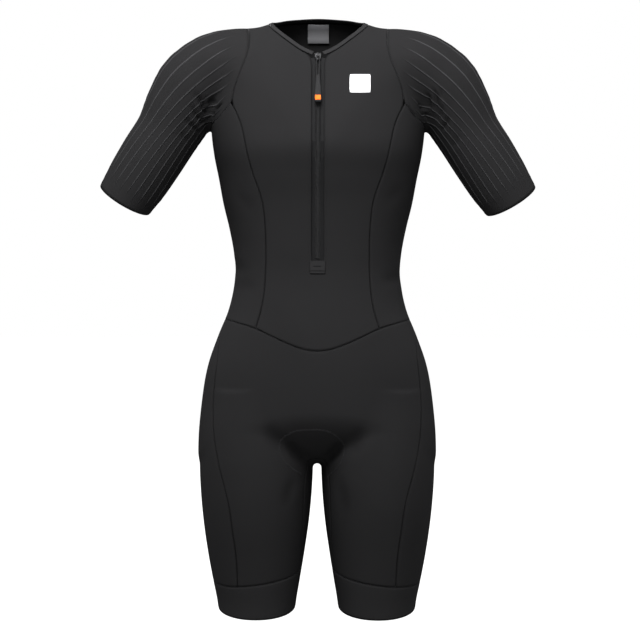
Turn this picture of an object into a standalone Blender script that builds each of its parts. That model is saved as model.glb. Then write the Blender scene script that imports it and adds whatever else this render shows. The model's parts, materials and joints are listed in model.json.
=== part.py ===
"""A one-piece short-sleeved triathlon suit, filled out as if worn, with nobody in it.

The cloth lies on one smooth hollow form, a general figure worked out from the size tables below. Each sewn piece
is a wall of cloth between seam curves drawn on that form. Millimetres in the tables, metres in the model.
+Z is up, the front faces -Y, +X is the wearer's left, and the origin is between the shoulders at the neck.
"""

import math

import bmesh
import bpy
import numpy as np
from mathutils import Matrix, Vector
from mathutils.kdtree import KDTree

MM = 0.001

# Driving sizes, in millimetres
CLOTH = 1.2  # thickness of the stretch cloth
SEAM_HALF_GAP = 0.17  # each piece stops this far short of its seam
ARMPIT_HALF_GAP = 0.3  # round the armhole, which bends sharply at the armpit
LAYER_GAP = 0.35  # between a piece and what lies on it
UNDER_GAP = 0.95  # between a panel and what lies inside it, as a panel's faces cut a little inside the form
BAND_CLOTH = 1.5
BINDING_WIDTH = 7
BINDING_CLOTH = 1.7
BINDING_PROUD = 0.3
RIB_HEIGHT = 0.7
RIB_COLUMNS = (0, 0.13, 0.87)  # places along each armhole step: the rib, and the flat cloth between two ribs
NEAREST_FIELD_STEP = 0.25  # for the slope of the form

# Zip, label and chest patch, in millimetres
TAPE_THICKNESS = 0.8
TAPE_HALF_WIDTH = 13
END_PATCH = {"width": 22, "top": -335, "bottom": -353, "thickness": 0.8}
CHEST_PATCH = {"left": 45, "right": 74.5, "top": -70, "bottom": -96, "thickness": 0.4}
LABEL = {"width": 32, "top": 14.5, "bottom": -11, "thickness": 0.5, "gap": 2.2}
SLIDER_Z = -45  # seen from the front
SLIDER = {"width": 9, "length": 12, "under": CLOTH + UNDER_GAP - LAYER_GAP, "over": 1.8}
BRIDGE = {"width": 2.2, "length": 8.6, "top": 6.0, "wall": 1.3}
PIN_HEIGHT = 3.3
PIN_THICKNESS = 1.5
PULL = {"width": 8.5, "slot": 3.2, "loop_length": 48, "thickness": 1.6}
STRAP = {"width": 10.5, "length": 18, "thickness": 2.2}
TAG = {"width": 9.5, "length": 12, "thickness": 2.8}
PULL_CLEARANCE = 1.2

# Rows of the trunk: height, half width, depth to the front, depth to the back
TRUNK_COLUMNS = ("z", "half_width", "front", "back")
TRUNK = (
    (60, 132, 58, 70),
    (20, 138, 62, 76),
    (-20, 143, 72, 86),
    (-60, 146, 86, 96),
    (-100, 148, 97, 103),
    (-148, 151, 108, 106),
    (-185, 147, 114, 104),
    (-220, 140, 107, 99),
    (-255, 133.5, 99, 93),
    (-290, 125, 94, 87),
    (-325, 118.5, 91, 83),
    (-350, 116.5, 90, 83),
    (-375, 119, 91, 87),
    (-405, 126, 94, 96),
    (-440, 140, 98, 108),
    (-480, 154, 101, 118),
    (-530, 163, 101, 125),
    (-580, 166.5, 98, 124),
    (-620, 166, 94, 114),
    (-700, 160, 88, 100),
)
TRUNK_POWER = 2.25  # 2 is an ellipse, more is squarer

# Rows of the shoulder line: distance from the middle, height of the ridge, how far back the ridge lies
SHOULDER_COLUMNS = ("x", "ridge_z", "ridge_y")
SHOULDER = (
    (-25, 19, 34),
    (0, 21, 36),
    (25, 19, 34),
    (48, 14, 26),
    (70, 2.5, 14),
    (100, -10, 8),
    (130, -15, 6),
    (165, -24, 6),
    (220, -40, 6),
)
SHOULDER_ROUNDNESS = 66  # radius of the shoulder, front to back
SHOULDER_BLEND = 26

# Rows of a sleeve's middle line: across, height, back, radius
ARM_COLUMNS = ("x", "z", "y", "radius")
ARM = (
    (120, -62, 6, 46),
    (150, -72, 6, 55.5),
    (170, -84, 6, 56),
    (192, -113, 6, 51.5),
    (213, -151, 6, 45.5),
    (236, -187, 6, 45),
    (256, -219, 6, 43.5),
    (275.5, -249.5, 6, 40),
    (300, -288, 6, 36),
)
ARM_STEPS = 28
ARM_BLEND_TOP = 34
ARM_BLEND_PIT = 9

# Rows of a leg: height, distance of its middle from the suit's middle, half width, depth to the front, to the back
LEG_COLUMNS = ("z", "middle", "half_width", "front", "back")
LEG = (
    (-520, 84, 70, 84, 96),
    (-570, 85.5, 78, 90, 108),
    (-626, 86, 80, 92, 104),
    (-660, 86, 78.5, 90, 97),
    (-703, 86, 74.5, 84, 90),
    (-745, 86, 68.5, 75, 84),
    (-788, 85.5, 61, 66, 77),
    (-815, 85, 56, 61, 72),
    (-860, 85, 52, 57, 68),
)
LEG_POWER = 2.1
LEG_BLEND = 7
CROTCH_Z = -622
CROTCH_ROUNDNESS = 85  # radius of the saddle, front to back
CROTCH_BLEND = 18


def smooth_rows(rows):
    """A function of the first column that runs smoothly through the other columns of a table."""
    table = np.array(sorted(rows), float)
    at, values = table[:, 0], table[:, 1:]
    slopes = np.gradient(values, at, axis=0)

    def value(x):
        x = np.clip(np.asarray(x, float), at[0], at[-1])
        i = np.clip(np.searchsorted(at, x) - 1, 0, len(at) - 2)
        width = at[i + 1] - at[i]
        t = (x - at[i]) / width
        t, width = t[..., None], width[..., None]
        ends = (2 * t**3 - 3 * t**2 + 1) * values[i] + (3 * t**2 - 2 * t**3) * values[i + 1]
        bends = (t**3 - 2 * t**2 + t) * slopes[i] + (t**3 - t**2) * slopes[i + 1]
        return np.moveaxis(ends + width * bends, -1, 0)

    return value


def smooth_min(a, b, blend):
    """The nearer of two fields, rounded where they meet."""
    overlap = np.maximum(blend - np.abs(a - b), 0)
    return np.minimum(a, b) - overlap**2 / (4 * blend)


def smooth_max(a, b, blend):
    return -smooth_min(-a, -b, blend)


trunk_at = smooth_rows(TRUNK)
shoulder_at = smooth_rows(SHOULDER)
leg_at = smooth_rows(LEG)


def arm_line():
    """Points down the middle of a sleeve, close together, each with its radius."""
    rows = np.array(ARM, float)
    along = np.concatenate([[0], np.cumsum(np.linalg.norm(np.diff(rows[:, :3], axis=0), axis=1))])
    line = smooth_rows([(s, *row) for s, row in zip(along, rows)])
    x, z, y, radius = line(np.linspace(0, along[-1], ARM_STEPS))
    return np.stack([x, y, z], axis=1), radius


ARM_POINTS, ARM_RADII = arm_line()


def section(across, along, half_width, depth, power):
    """How far outside a rounded section a point lies, about in millimetres, and negative inside it."""
    reach = (np.abs(across / half_width) ** power + np.abs(along / depth) ** power) ** (1 / power)
    return (reach - 1) * np.minimum(half_width, depth)


def trunk_field(x, y, z):
    half_width, front, back = trunk_at(z)
    sides = section(x, y, half_width, np.where(y < 0, front, back), TRUNK_POWER)
    ridge_z, ridge_y = shoulder_at(x)
    roof = z - (ridge_z - (y - ridge_y) ** 2 / (2 * SHOULDER_ROUNDNESS))
    floor = CROTCH_Z + y**2 / (2 * CROTCH_ROUNDNESS) - z
    return smooth_max(smooth_max(sides, 0.8 * roof, SHOULDER_BLEND), floor, CROTCH_BLEND)


def arm_field(points):
    start, end = ARM_POINTS[:-1], ARM_POINTS[1:]
    run = end - start
    best = np.full(len(points), np.inf)
    for a, d, r0, r1 in zip(start, run, ARM_RADII[:-1], ARM_RADII[1:]):
        t = np.clip((points - a) @ d / (d @ d), 0, 1)
        away = np.linalg.norm(points - a - t[:, None] * d, axis=1)
        best = np.minimum(best, away - (r0 + t * (r1 - r0)))
    return best


def form_field(points):
    """The hollow form that the cloth lies on: 0 on its surface, negative inside. Points in millimetres."""
    points = np.asarray(points, float)
    x, y, z = np.abs(points[:, 0]), points[:, 1], points[:, 2]
    trunk = trunk_field(x, y, z)
    arm = arm_field(np.stack([x, y, z], axis=1))
    high = np.clip((z + 115) / 60, 0, 1)
    body = smooth_min(trunk, arm, ARM_BLEND_PIT + (ARM_BLEND_TOP - ARM_BLEND_PIT) * high)
    middle, half_width, front, back = leg_at(z)
    leg = section(x - middle, y, half_width, np.where(y < 0, front, back), LEG_POWER)
    leg = np.maximum(leg, z - LEG[0][0])
    return smooth_min(body, leg, LEG_BLEND)


def slope(points):
    """The direction that points straight out of the form, and how fast the field grows that way."""
    steps = np.eye(3) * NEAREST_FIELD_STEP
    grown = [form_field(points + s) - form_field(points - s) for s in steps]
    gradient = np.stack(grown, axis=1) / (2 * NEAREST_FIELD_STEP)
    size = np.linalg.norm(gradient, axis=1, keepdims=True)
    return gradient / np.maximum(size, 1e-9), np.maximum(size[:, 0], 1e-9)


def onto_form(points, rounds=14):
    """Points moved the short way onto the form's surface."""
    points = np.array(points, float)
    for _ in range(rounds):
        out, growth = slope(points)
        step = np.clip(form_field(points) / growth, -15, 15)
        points = points - out * step[:, None]
    return points


def first_change(starts, directions, reach, step=3.0):
    """Where rays first cross the form's surface, walked in even steps and then halved down. Else the nearest place."""
    distances = np.arange(0, reach, step)
    fields = np.stack([form_field(starts + directions * d) for d in distances])
    crosses = np.sign(fields[1:]) != np.sign(fields[:1])
    met = crosses.any(axis=0)
    index = np.where(met, crosses.argmax(axis=0), np.abs(fields[1:]).argmin(axis=0))
    near, far = distances[index], distances[index + 1]
    first_sign = np.sign(fields[0])
    for _ in range(24):
        middle = (near + far) / 2
        same = np.sign(form_field(starts + directions * middle[:, None])) == first_sign
        near, far = np.where(same & met, middle, near), np.where(same & met, far, middle)
    return starts + directions * near[:, None]


# Where the front is looked at from when its seams are drawn, so that a seam's x and z are as seen
EYE = np.array((0, -2200, -419), float)
EYE_STARTS = 1950  # the form is further away than this


def seen(pairs):
    """Points of the front of the form for the x and z at which they are seen, measured where y is 0."""
    pairs = np.array(pairs, float)
    aims = np.stack([pairs[:, 0], np.zeros(len(pairs)), pairs[:, 1]], axis=1)
    directions = aims - EYE
    directions /= np.linalg.norm(directions, axis=1, keepdims=True)
    return onto_form(first_change(EYE + directions * EYE_STARTS, directions, 300))


def along(guide, count):
    """A smooth curve on the form through guide points, as count + 1 evenly spread points."""
    guide = np.array(guide, float)
    at = np.concatenate([[0], np.cumsum(np.linalg.norm(np.diff(guide, axis=0), axis=1))])
    curve = smooth_rows([(s, *p) for s, p in zip(at, guide)])
    dense = onto_form(curve(np.linspace(0, at[-1], 12 * count + 1)).T, 6)
    run = np.concatenate([[0], np.cumsum(np.linalg.norm(np.diff(dense, axis=0), axis=1))])
    even = np.linspace(0, run[-1], count + 1)
    points = onto_form(np.stack([np.interp(even, run, dense[:, k]) for k in range(3)], axis=1))
    return points


def halved(points):
    """The same run of points with one more half way along each step."""
    middles = (points[:-1] + points[1:]) / 2
    return np.concatenate([np.stack([points[:-1], middles], axis=1).reshape(-1, 3), points[-1:]])


# Numbers of steps along the seams, the same for the pieces on both sides of a seam
SHOULDER_STEPS = 6
NECK_FRONT_STEPS = 7
NECK_BACK_STEPS = 6
ARMHOLE_FRONT_STEPS = 8
ARMHOLE_SIDE_STEPS = 4
ARMHOLE_BACK_STEPS = 11
PRINCESS_STEPS = 17
SLIT_STEPS = 13
BACK_STEPS = SHOULDER_STEPS
SHORTS_TOP_STEPS = SHOULDER_STEPS + ARMHOLE_SIDE_STEPS
CROTCH_STEPS = 7
INSEAM_STEPS = 8
GUSSET_STEPS = 4
SHORTS_SIDE_STEPS = 5
SHORTS_BACK_STEPS = 2 * BACK_STEPS - SHORTS_SIDE_STEPS
BAND_ROWS = 2
SLEEVE_ROWS = 7
SLEEVE_SMOOTHING = 14

# Where the pieces meet, +X half. Those called SEEN hold the x and z seen from the front, the others x, y and z.
NECK_POINT = (71, 12, 1)
SHOULDER_TIP = (100, 8, -8)
SLIT_HALF_WIDTH = 8.5
SLIT_TOP_Z = -43
SLIT_END_Z = -340
NECK_FRONT_SEEN = ((64, -8), (54, -15.5), (42, -24), (30, -32.5), (19, -39.5), (SLIT_HALF_WIDTH, SLIT_TOP_Z))
NECK_BACK = ((60, 34, 4), (42, 49, 10), (21, 57, 14), (0, 59, 16))
ARMHOLE_FRONT_SEEN = ((97, -24), (99, -38), (106.5, -58), (116, -81), (121.5, -97), (124, -111))
ARMHOLE_SIDE_SEEN = ((131, -120), (140, -131))
ARMPIT = (154, 6, -148)
ARMHOLE_BACK = ((150.5, 35, -128), (138, 56, -96), (125, 65, -62), (109, 46, -24))
PRINCESS_SEEN = (
    (113, -130), (107, -149), (101, -179), (94, -207), (87.5, -225), (80, -243), (77, -260), (74.5, -286),
    (73.5, -318), (74, -352), (76, -382), (80, -406), (88, -431),
)
WAIST_FRONT_SEEN = ((60, -445), (34, -456.5), (16, -462.5), (0, -464))
WAIST_SIDE_SEEN = ((110, -424.5),)
WAIST_SIDE = (131, 0, -419)
WAIST_BACK = ((112, 66, -417), (60, 97, -415), (0, 103, -415))
SIDE_SEAM = ((146, 3, -180), (131, 0, -255), (118, 0, -330), (119, 0, -375))
OUTER_SEAM_SEEN = (
    (141, -470), (148, -530), (146, -590), (136, -640), (124, -685), (120.5, -717), (115.5, -745),
)
CROTCH_FRONT = (0, -40, -612)
CROTCH_BACK = (0, 44, -611)
INSEAM_FRONT = ((9, -45, -622), (15, -50, -634))
INSEAM_FRONT_SEEN = ((18.5, -660), (19.5, -690), (21, -725))
INSEAM_BACK = ((10, 48, -622), (16, 50, -640), (22, 48, -680), (25, 42, -725))
BACK_CENTRE = ((0, 86, -40), (0, 103, -120), (0, 96, -240), (0, 84, -340), (0, 92, -390))
BACK_GUIDE = ((136, 80, -500), (140, 82, -590), (134, 66, -690), (124, 56, -740))

# The seam of the leg band and the hem are flat rings round the leg: height, slope to the back, slope inwards
RING_COLUMNS = ("middle_x", "z", "rise_to_back", "rise_inwards")
BAND_SEAM = (85.5, -777, 0.13, 0.135)
LEG_HEM = (85, -824, 0.18, 0)
# Angles of the band seam's corners, from straight ahead and turning outwards
OUTER_SEAM_ANGLE = 21
BACK_GUIDE_ANGLE = 130
INSEAM_BACK_ANGLE = 236
INSEAM_FRONT_ANGLE = 282


# The sleeve: points down its middle, the direction in which it ends, and how far its hem dips to the front
SLEEVE_GUIDE = (
    (126, 8, -76), (165, 6, -92), (192, 6, -121), (215, 6, -154), (236, 6, -188), (256, 6, -219), (275, 6, -248.5),
)
SLEEVE_AXIS = (0.54, 0, -0.842)
SLEEVE_HEM_SLOPE = 0.24


def leg_ring(ring, angles):
    """Points where a flat ring round the leg meets the form."""
    middle, z, rise_back, rise_in = ring
    turn = np.radians(np.asarray(angles, float))
    across, back = np.sin(turn), -np.cos(turn)
    directions = np.stack([across, back, rise_back * back - rise_in * across], axis=1)
    starts = np.tile((middle, 0.0, z), (len(turn), 1))
    return first_change(starts, directions, 140)


def from_seen(first, pairs, last=None):
    points = [np.array(first, float)] if first is not None else []
    points += list(seen(pairs))
    if last is not None:
        points.append(np.array(last, float))
    return points


def band_arc(start, end, steps):
    return leg_ring(BAND_SEAM, np.linspace(start, end, steps + 1))


def draw_seams():
    """Every seam of the +X half as an array of points on the form."""
    seams = {}
    neck, tip, pit = (onto_form([p])[0] for p in (NECK_POINT, SHOULDER_TIP, ARMPIT))
    side = onto_form([WAIST_SIDE])[0]
    seams["shoulder"] = along([neck, tip], SHOULDER_STEPS)
    seams["neck_front"] = along(from_seen(neck, NECK_FRONT_SEEN), NECK_FRONT_STEPS)
    seams["neck_back"] = along([neck, *NECK_BACK], NECK_BACK_STEPS)
    seams["armhole_front"] = along(from_seen(tip, ARMHOLE_FRONT_SEEN), ARMHOLE_FRONT_STEPS)
    princess_top = seams["armhole_front"][-1]
    seams["armhole_side"] = along(from_seen(princess_top, ARMHOLE_SIDE_SEEN, pit), ARMHOLE_SIDE_STEPS)
    seams["armhole_back"] = along([pit, *ARMHOLE_BACK, tip], ARMHOLE_BACK_STEPS)
    seams["princess"] = along(from_seen(princess_top, PRINCESS_SEEN), PRINCESS_STEPS)
    princess_end = seams["princess"][-1]
    seams["side"] = along([pit, *SIDE_SEAM, side], PRINCESS_STEPS)
    seams["waist_front"] = along(from_seen(princess_end, WAIST_FRONT_SEEN), SHOULDER_STEPS)
    seams["waist_side"] = along(from_seen(princess_end, WAIST_SIDE_SEEN, side), ARMHOLE_SIDE_STEPS)
    seams["waist_back"] = along([side, *WAIST_BACK], BACK_STEPS)
    seams["shorts_back_top"] = halved(seams["waist_back"])
    centre_steps = ARMHOLE_FRONT_STEPS + PRINCESS_STEPS - NECK_FRONT_STEPS - SLIT_STEPS - 1
    slit_z = np.linspace(SLIT_TOP_Z, SLIT_END_Z, SLIT_STEPS + 1)
    centre_z = np.linspace(SLIT_END_Z - 4, WAIST_FRONT_SEEN[-1][1], centre_steps + 1)
    seams["slit"] = seen([(SLIT_HALF_WIDTH, z) for z in slit_z])
    seams["slit"][0] = seams["neck_front"][-1]
    seams["centre"] = seen([(0, z) for z in centre_z])
    seams["centre"][-1] = seams["waist_front"][-1]
    for name in ("centre", "waist_front"):
        seams[name][-1][0] = 0
    angles = (INSEAM_FRONT_ANGLE - 360, OUTER_SEAM_ANGLE)
    seams["band_front"] = band_arc(*angles, SHORTS_TOP_STEPS)
    seams["band_side"] = band_arc(OUTER_SEAM_ANGLE, BACK_GUIDE_ANGLE, SHORTS_SIDE_STEPS)
    seams["band_back"] = band_arc(BACK_GUIDE_ANGLE, INSEAM_BACK_ANGLE, SHORTS_BACK_STEPS)
    seams["band_inner"] = band_arc(INSEAM_BACK_ANGLE, INSEAM_FRONT_ANGLE, GUSSET_STEPS)
    rows = CROTCH_STEPS + INSEAM_STEPS
    outer = from_seen(side, OUTER_SEAM_SEEN, seams["band_front"][-1])
    seams["outer"] = along(outer, rows)
    seams["outer"][-1] = seams["band_front"][-1]
    front, back = onto_form([CROTCH_FRONT])[0], onto_form([CROTCH_BACK])[0]
    seams["rise_front"] = seen([(0, z) for z in np.linspace(WAIST_FRONT_SEEN[-1][1], -590, CROTCH_STEPS)])
    seams["rise_front"] = along([*seams["rise_front"], front], CROTCH_STEPS)
    seams["rise_front"][0] = seams["waist_front"][-1]
    seams["rise_back"] = along([seams["waist_back"][-1], (0, 112, -480), (0, 108, -560), back], CROTCH_STEPS)
    seams["inseam_front"] = along(
        [front, *INSEAM_FRONT, *seen(INSEAM_FRONT_SEEN), seams["band_front"][0]], INSEAM_STEPS
    )
    seams["inseam_back"] = along([back, *INSEAM_BACK, seams["band_back"][-1]], INSEAM_STEPS)
    seams["saddle"] = along([front, (0, 0, CROTCH_Z), back], GUSSET_STEPS)
    guide_top = seams["shorts_back_top"][SHORTS_SIDE_STEPS]
    seams["guide"] = along([guide_top, *BACK_GUIDE, seams["band_side"][-1]], rows)
    seams["guide"][0], seams["guide"][-1] = guide_top, seams["band_side"][-1]
    seams["back_centre"] = along([seams["neck_back"][-1], *BACK_CENTRE, seams["waist_back"][-1]],
                                 ARMHOLE_BACK_STEPS + PRINCESS_STEPS - NECK_BACK_STEPS)
    for name in ("centre", "rise_front", "rise_back", "saddle", "back_centre"):
        seams[name][:, 0] = 0
    seams["neck_back"][-1][0] = seams["waist_back"][-1][0] = 0
    return seams


def patch(top, bottom, left, right, smoothing=8):
    """A grid of points on the form between four seams that share their corners, rows from top to bottom."""
    top, bottom, left, right = (np.asarray(side, float) for side in (top, bottom, left, right))
    rows, columns = len(left) - 1, len(top) - 1
    v = np.linspace(0, 1, rows + 1)[:, None, None]
    u = np.linspace(0, 1, columns + 1)[None, :, None]
    between_sides = (1 - u) * left[:, None] + u * right[:, None]
    between_ends = (1 - v) * top[None] + v * bottom[None]
    corners = (1 - u) * (1 - v) * top[0] + u * (1 - v) * top[-1]
    corners = corners + (1 - u) * v * bottom[0] + u * v * bottom[-1]
    grid = between_sides + between_ends - corners
    for _ in range(smoothing):
        inner = onto_form(grid[1:-1, 1:-1].reshape(-1, 3), 5).reshape(rows - 1, columns - 1, 3)
        grid[1:-1, 1:-1] = inner
        around = grid[:-2, 1:-1] + grid[2:, 1:-1] + grid[1:-1, :-2] + grid[1:-1, 2:]
        grid[1:-1, 1:-1] = 0.5 * inner + 0.125 * around
    grid[1:-1, 1:-1] = onto_form(grid[1:-1, 1:-1].reshape(-1, 3)).reshape(rows - 1, columns - 1, 3)
    return grid


def mirrored(grid):
    return (grid * (-1, 1, 1))[:, ::-1]


def add_grid(mesh, grid):
    """Lays a sheet of faces through a grid of points in millimetres."""
    rows, columns = grid.shape[0] - 1, grid.shape[1] - 1
    made = bmesh.ops.create_grid(mesh, x_segments=columns, y_segments=rows, size=1)["verts"]
    for vert in made:
        row = round((1 - vert.co.y) / 2 * rows)
        column = round((vert.co.x + 1) / 2 * columns)
        vert.co = Vector(grid[row, column]) * MM


def sheet_of(*grids):
    """One open sheet from grids that share edges, with its faces looking out of the form."""
    mesh = bmesh.new()
    for grid in grids:
        add_grid(mesh, grid)
    bmesh.ops.remove_doubles(mesh, verts=mesh.verts[:], dist=0.02 * MM)
    bmesh.ops.recalc_face_normals(mesh, faces=mesh.faces[:])
    mesh.normal_update()
    middles = np.array([face.calc_center_median() for face in mesh.faces]) / MM
    facing = np.array([face.normal for face in mesh.faces])
    if (facing * slope(middles)[0]).sum() < 0:
        bmesh.ops.reverse_faces(mesh, faces=mesh.faces[:])
    mesh.normal_update()
    return mesh


def draw_in_edges(mesh, gap):
    """Moves a sheet's edges in by the gap, along the sheet, so that pieces don't touch at their seams."""
    inwards = {}
    for edge in mesh.edges:
        if len(edge.link_faces) != 1:
            continue
        face = edge.link_faces[0]
        across = face.normal.cross(edge.verts[1].co - edge.verts[0].co).normalized()
        if across.dot(face.calc_center_median() - edge.verts[0].co) < 0:
            across = -across
        for vert in edge.verts:
            inwards.setdefault(vert, []).append(across)
    moves = {}
    for vert, found in inwards.items():
        first, last = found[0], found[-1]
        moves[vert] = (first + last) * (gap / max(1 + first.dot(last), 0.35))
    for vert, move in moves.items():
        vert.co += move


def make_wall(mesh, thickness, gap=SEAM_HALF_GAP, sunk=0.0, raised=None, facing=slope):
    """Gives a sheet its thickness, inwards from the form. Sunk lowers all of it, raised lifts outer points."""
    draw_in_edges(mesh, gap * MM)
    outer = mesh.verts[:]
    points = np.array([vert.co for vert in outer]) / MM
    out = facing(points)[0]
    lifts = np.zeros(len(outer)) if raised is None else raised(points)
    made = bmesh.ops.extrude_face_region(mesh, geom=mesh.faces[:], use_keep_orig=True)["geom"]
    inner = [item for item in made if isinstance(item, bmesh.types.BMVert)]
    at = {tuple(vert.co): i for i, vert in enumerate(outer)}
    for vert in inner:
        i = at[tuple(vert.co)]
        vert.co = Vector(points[i] - out[i] * (sunk + thickness)) * MM
    for i, vert in enumerate(outer):
        vert.co = Vector(points[i] + out[i] * (lifts[i] - sunk)) * MM
    bmesh.ops.triangulate(mesh, faces=mesh.faces[:], quad_method="SHORT_EDGE", ngon_method="BEAUTY")
    bmesh.ops.recalc_face_normals(mesh, faces=mesh.faces[:])
    return mesh


# Finishes of the pieces: colour, roughness, metallic
FINISHES = {
    "suit_fabric": ((0.022, 0.022, 0.024), 0.62, 0.0),
    "sleeve_fabric": ((0.028, 0.028, 0.030), 0.55, 0.0),
    "leg_band": ((0.032, 0.032, 0.034), 0.7, 0.0),
    "binding": ((0.030, 0.030, 0.032), 0.6, 0.0),
    "zip_tape": ((0.012, 0.012, 0.013), 0.75, 0.0),
    "zip_metal": ((0.030, 0.030, 0.032), 0.35, 0.9),
    "pull_strap": ((0.018, 0.018, 0.019), 0.6, 0.0),
    "pull_tag": ((0.85, 0.22, 0.04), 0.5, 0.0),
    "neck_label": ((0.13, 0.13, 0.135), 0.7, 0.0),
    "chest_patch": ((0.80, 0.80, 0.80), 0.45, 0.0),
}


def finish(name):
    if name in bpy.data.materials:
        return bpy.data.materials[name]
    colour, roughness, metallic = FINISHES[name]
    material = bpy.data.materials.new(name)
    material.use_nodes = True
    shader = material.node_tree.nodes["Principled BSDF"]
    shader.inputs["Base Color"].default_value = (*colour, 1)
    shader.inputs["Roughness"].default_value = roughness
    shader.inputs["Metallic"].default_value = metallic
    material.diffuse_color = (*colour, 1)
    return material


def place(name, mesh, finish_name, parent=None):
    """Makes a named object of a finished mesh."""
    data = bpy.data.meshes.new(name)
    mesh.to_mesh(data)
    mesh.free()
    data.shade_smooth()
    data.set_sharp_from_angle(angle=math.radians(40))
    data.materials.append(finish(finish_name))
    thing = bpy.data.objects.new(name, data)
    bpy.context.scene.collection.objects.link(thing)
    thing.parent = parent
    return thing


def build_top(seams):
    """Front, back and side panels, from the neck down to the waist seam."""
    left = np.concatenate([seams["neck_front"], seams["slit"][1:], seams["centre"]])
    right = np.concatenate([seams["armhole_front"], seams["princess"][1:]])
    half = patch(seams["shoulder"], seams["waist_front"][::-1], left, right)
    place("front_panel", make_wall(sheet_of(half, mirrored(half)), CLOTH), "suit_fabric")
    left = np.concatenate([seams["neck_back"], seams["back_centre"][1:]])
    right = np.concatenate([seams["armhole_back"][::-1], seams["side"][1:]])
    half = patch(seams["shoulder"], seams["waist_back"][::-1], left, right)
    back = make_wall(sheet_of(half, mirrored(half)), CLOTH, gap=ARMPIT_HALF_GAP)
    place("back_panel", back, "suit_fabric")
    half = patch(seams["armhole_side"], seams["waist_side"], seams["princess"], seams["side"])
    for name, grid in (("side_panel_left", half), ("side_panel_right", mirrored(half))):
        place(name, make_wall(sheet_of(grid), CLOTH, gap=ARMPIT_HALF_GAP), "suit_fabric")


def build_shorts(seams):
    """Shorts front over both legs, a back for each leg, and the inner leg strip that runs through the crotch."""
    top = np.concatenate([seams["waist_front"][::-1], seams["waist_side"][1:]])
    left = np.concatenate([seams["rise_front"], seams["inseam_front"][1:]])
    half = patch(top, seams["band_front"], left, seams["outer"])
    place("shorts_front", make_wall(sheet_of(half, mirrored(half)), CLOTH), "suit_fabric")
    top = seams["shorts_back_top"]
    side = patch(top[:SHORTS_SIDE_STEPS + 1], seams["band_side"], seams["outer"], seams["guide"])
    right = np.concatenate([seams["rise_back"], seams["inseam_back"][1:]])
    back = patch(top[SHORTS_SIDE_STEPS:], seams["band_back"], seams["guide"], right)
    place("shorts_back_left", make_wall(sheet_of(side, back), CLOTH), "suit_fabric")
    place("shorts_back_right", make_wall(sheet_of(mirrored(side), mirrored(back)), CLOTH), "suit_fabric")
    half = patch(seams["saddle"], seams["band_inner"][::-1], seams["inseam_front"], seams["inseam_back"])
    place("inner_leg", make_wall(sheet_of(half, mirrored(half)), CLOTH), "suit_fabric")


def build_bands(seams):
    """The wide elastic band round each leg."""
    arcs = ("band_front", "band_side", "band_back", "band_inner")
    upper = np.concatenate([seams[arc][:-1] for arc in arcs] + [seams["band_front"][:1]])
    middle = np.array((BAND_SEAM[0], 0.0, BAND_SEAM[1]))
    angles = np.degrees(np.arctan2(upper[:, 0] - middle[0], -upper[:, 1]))
    lower = leg_ring(LEG_HEM, angles)
    rows = [upper + (lower - upper) * t for t in np.linspace(0, 1, BAND_ROWS + 1)]
    grid = np.stack(rows)
    grid[1:-1] = onto_form(grid[1:-1].reshape(-1, 3)).reshape(grid[1:-1].shape)
    for name, points in (("leg_band_left", grid), ("leg_band_right", mirrored(grid))):
        place(name, make_wall(sheet_of(points), BAND_CLOTH), "leg_band")


def tree_of(points):
    """A tree that finds the nearest of some points."""
    tree = KDTree(len(points))
    for index, point in enumerate(points):
        tree.insert(point, index)
    tree.balance()
    return tree


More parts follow.
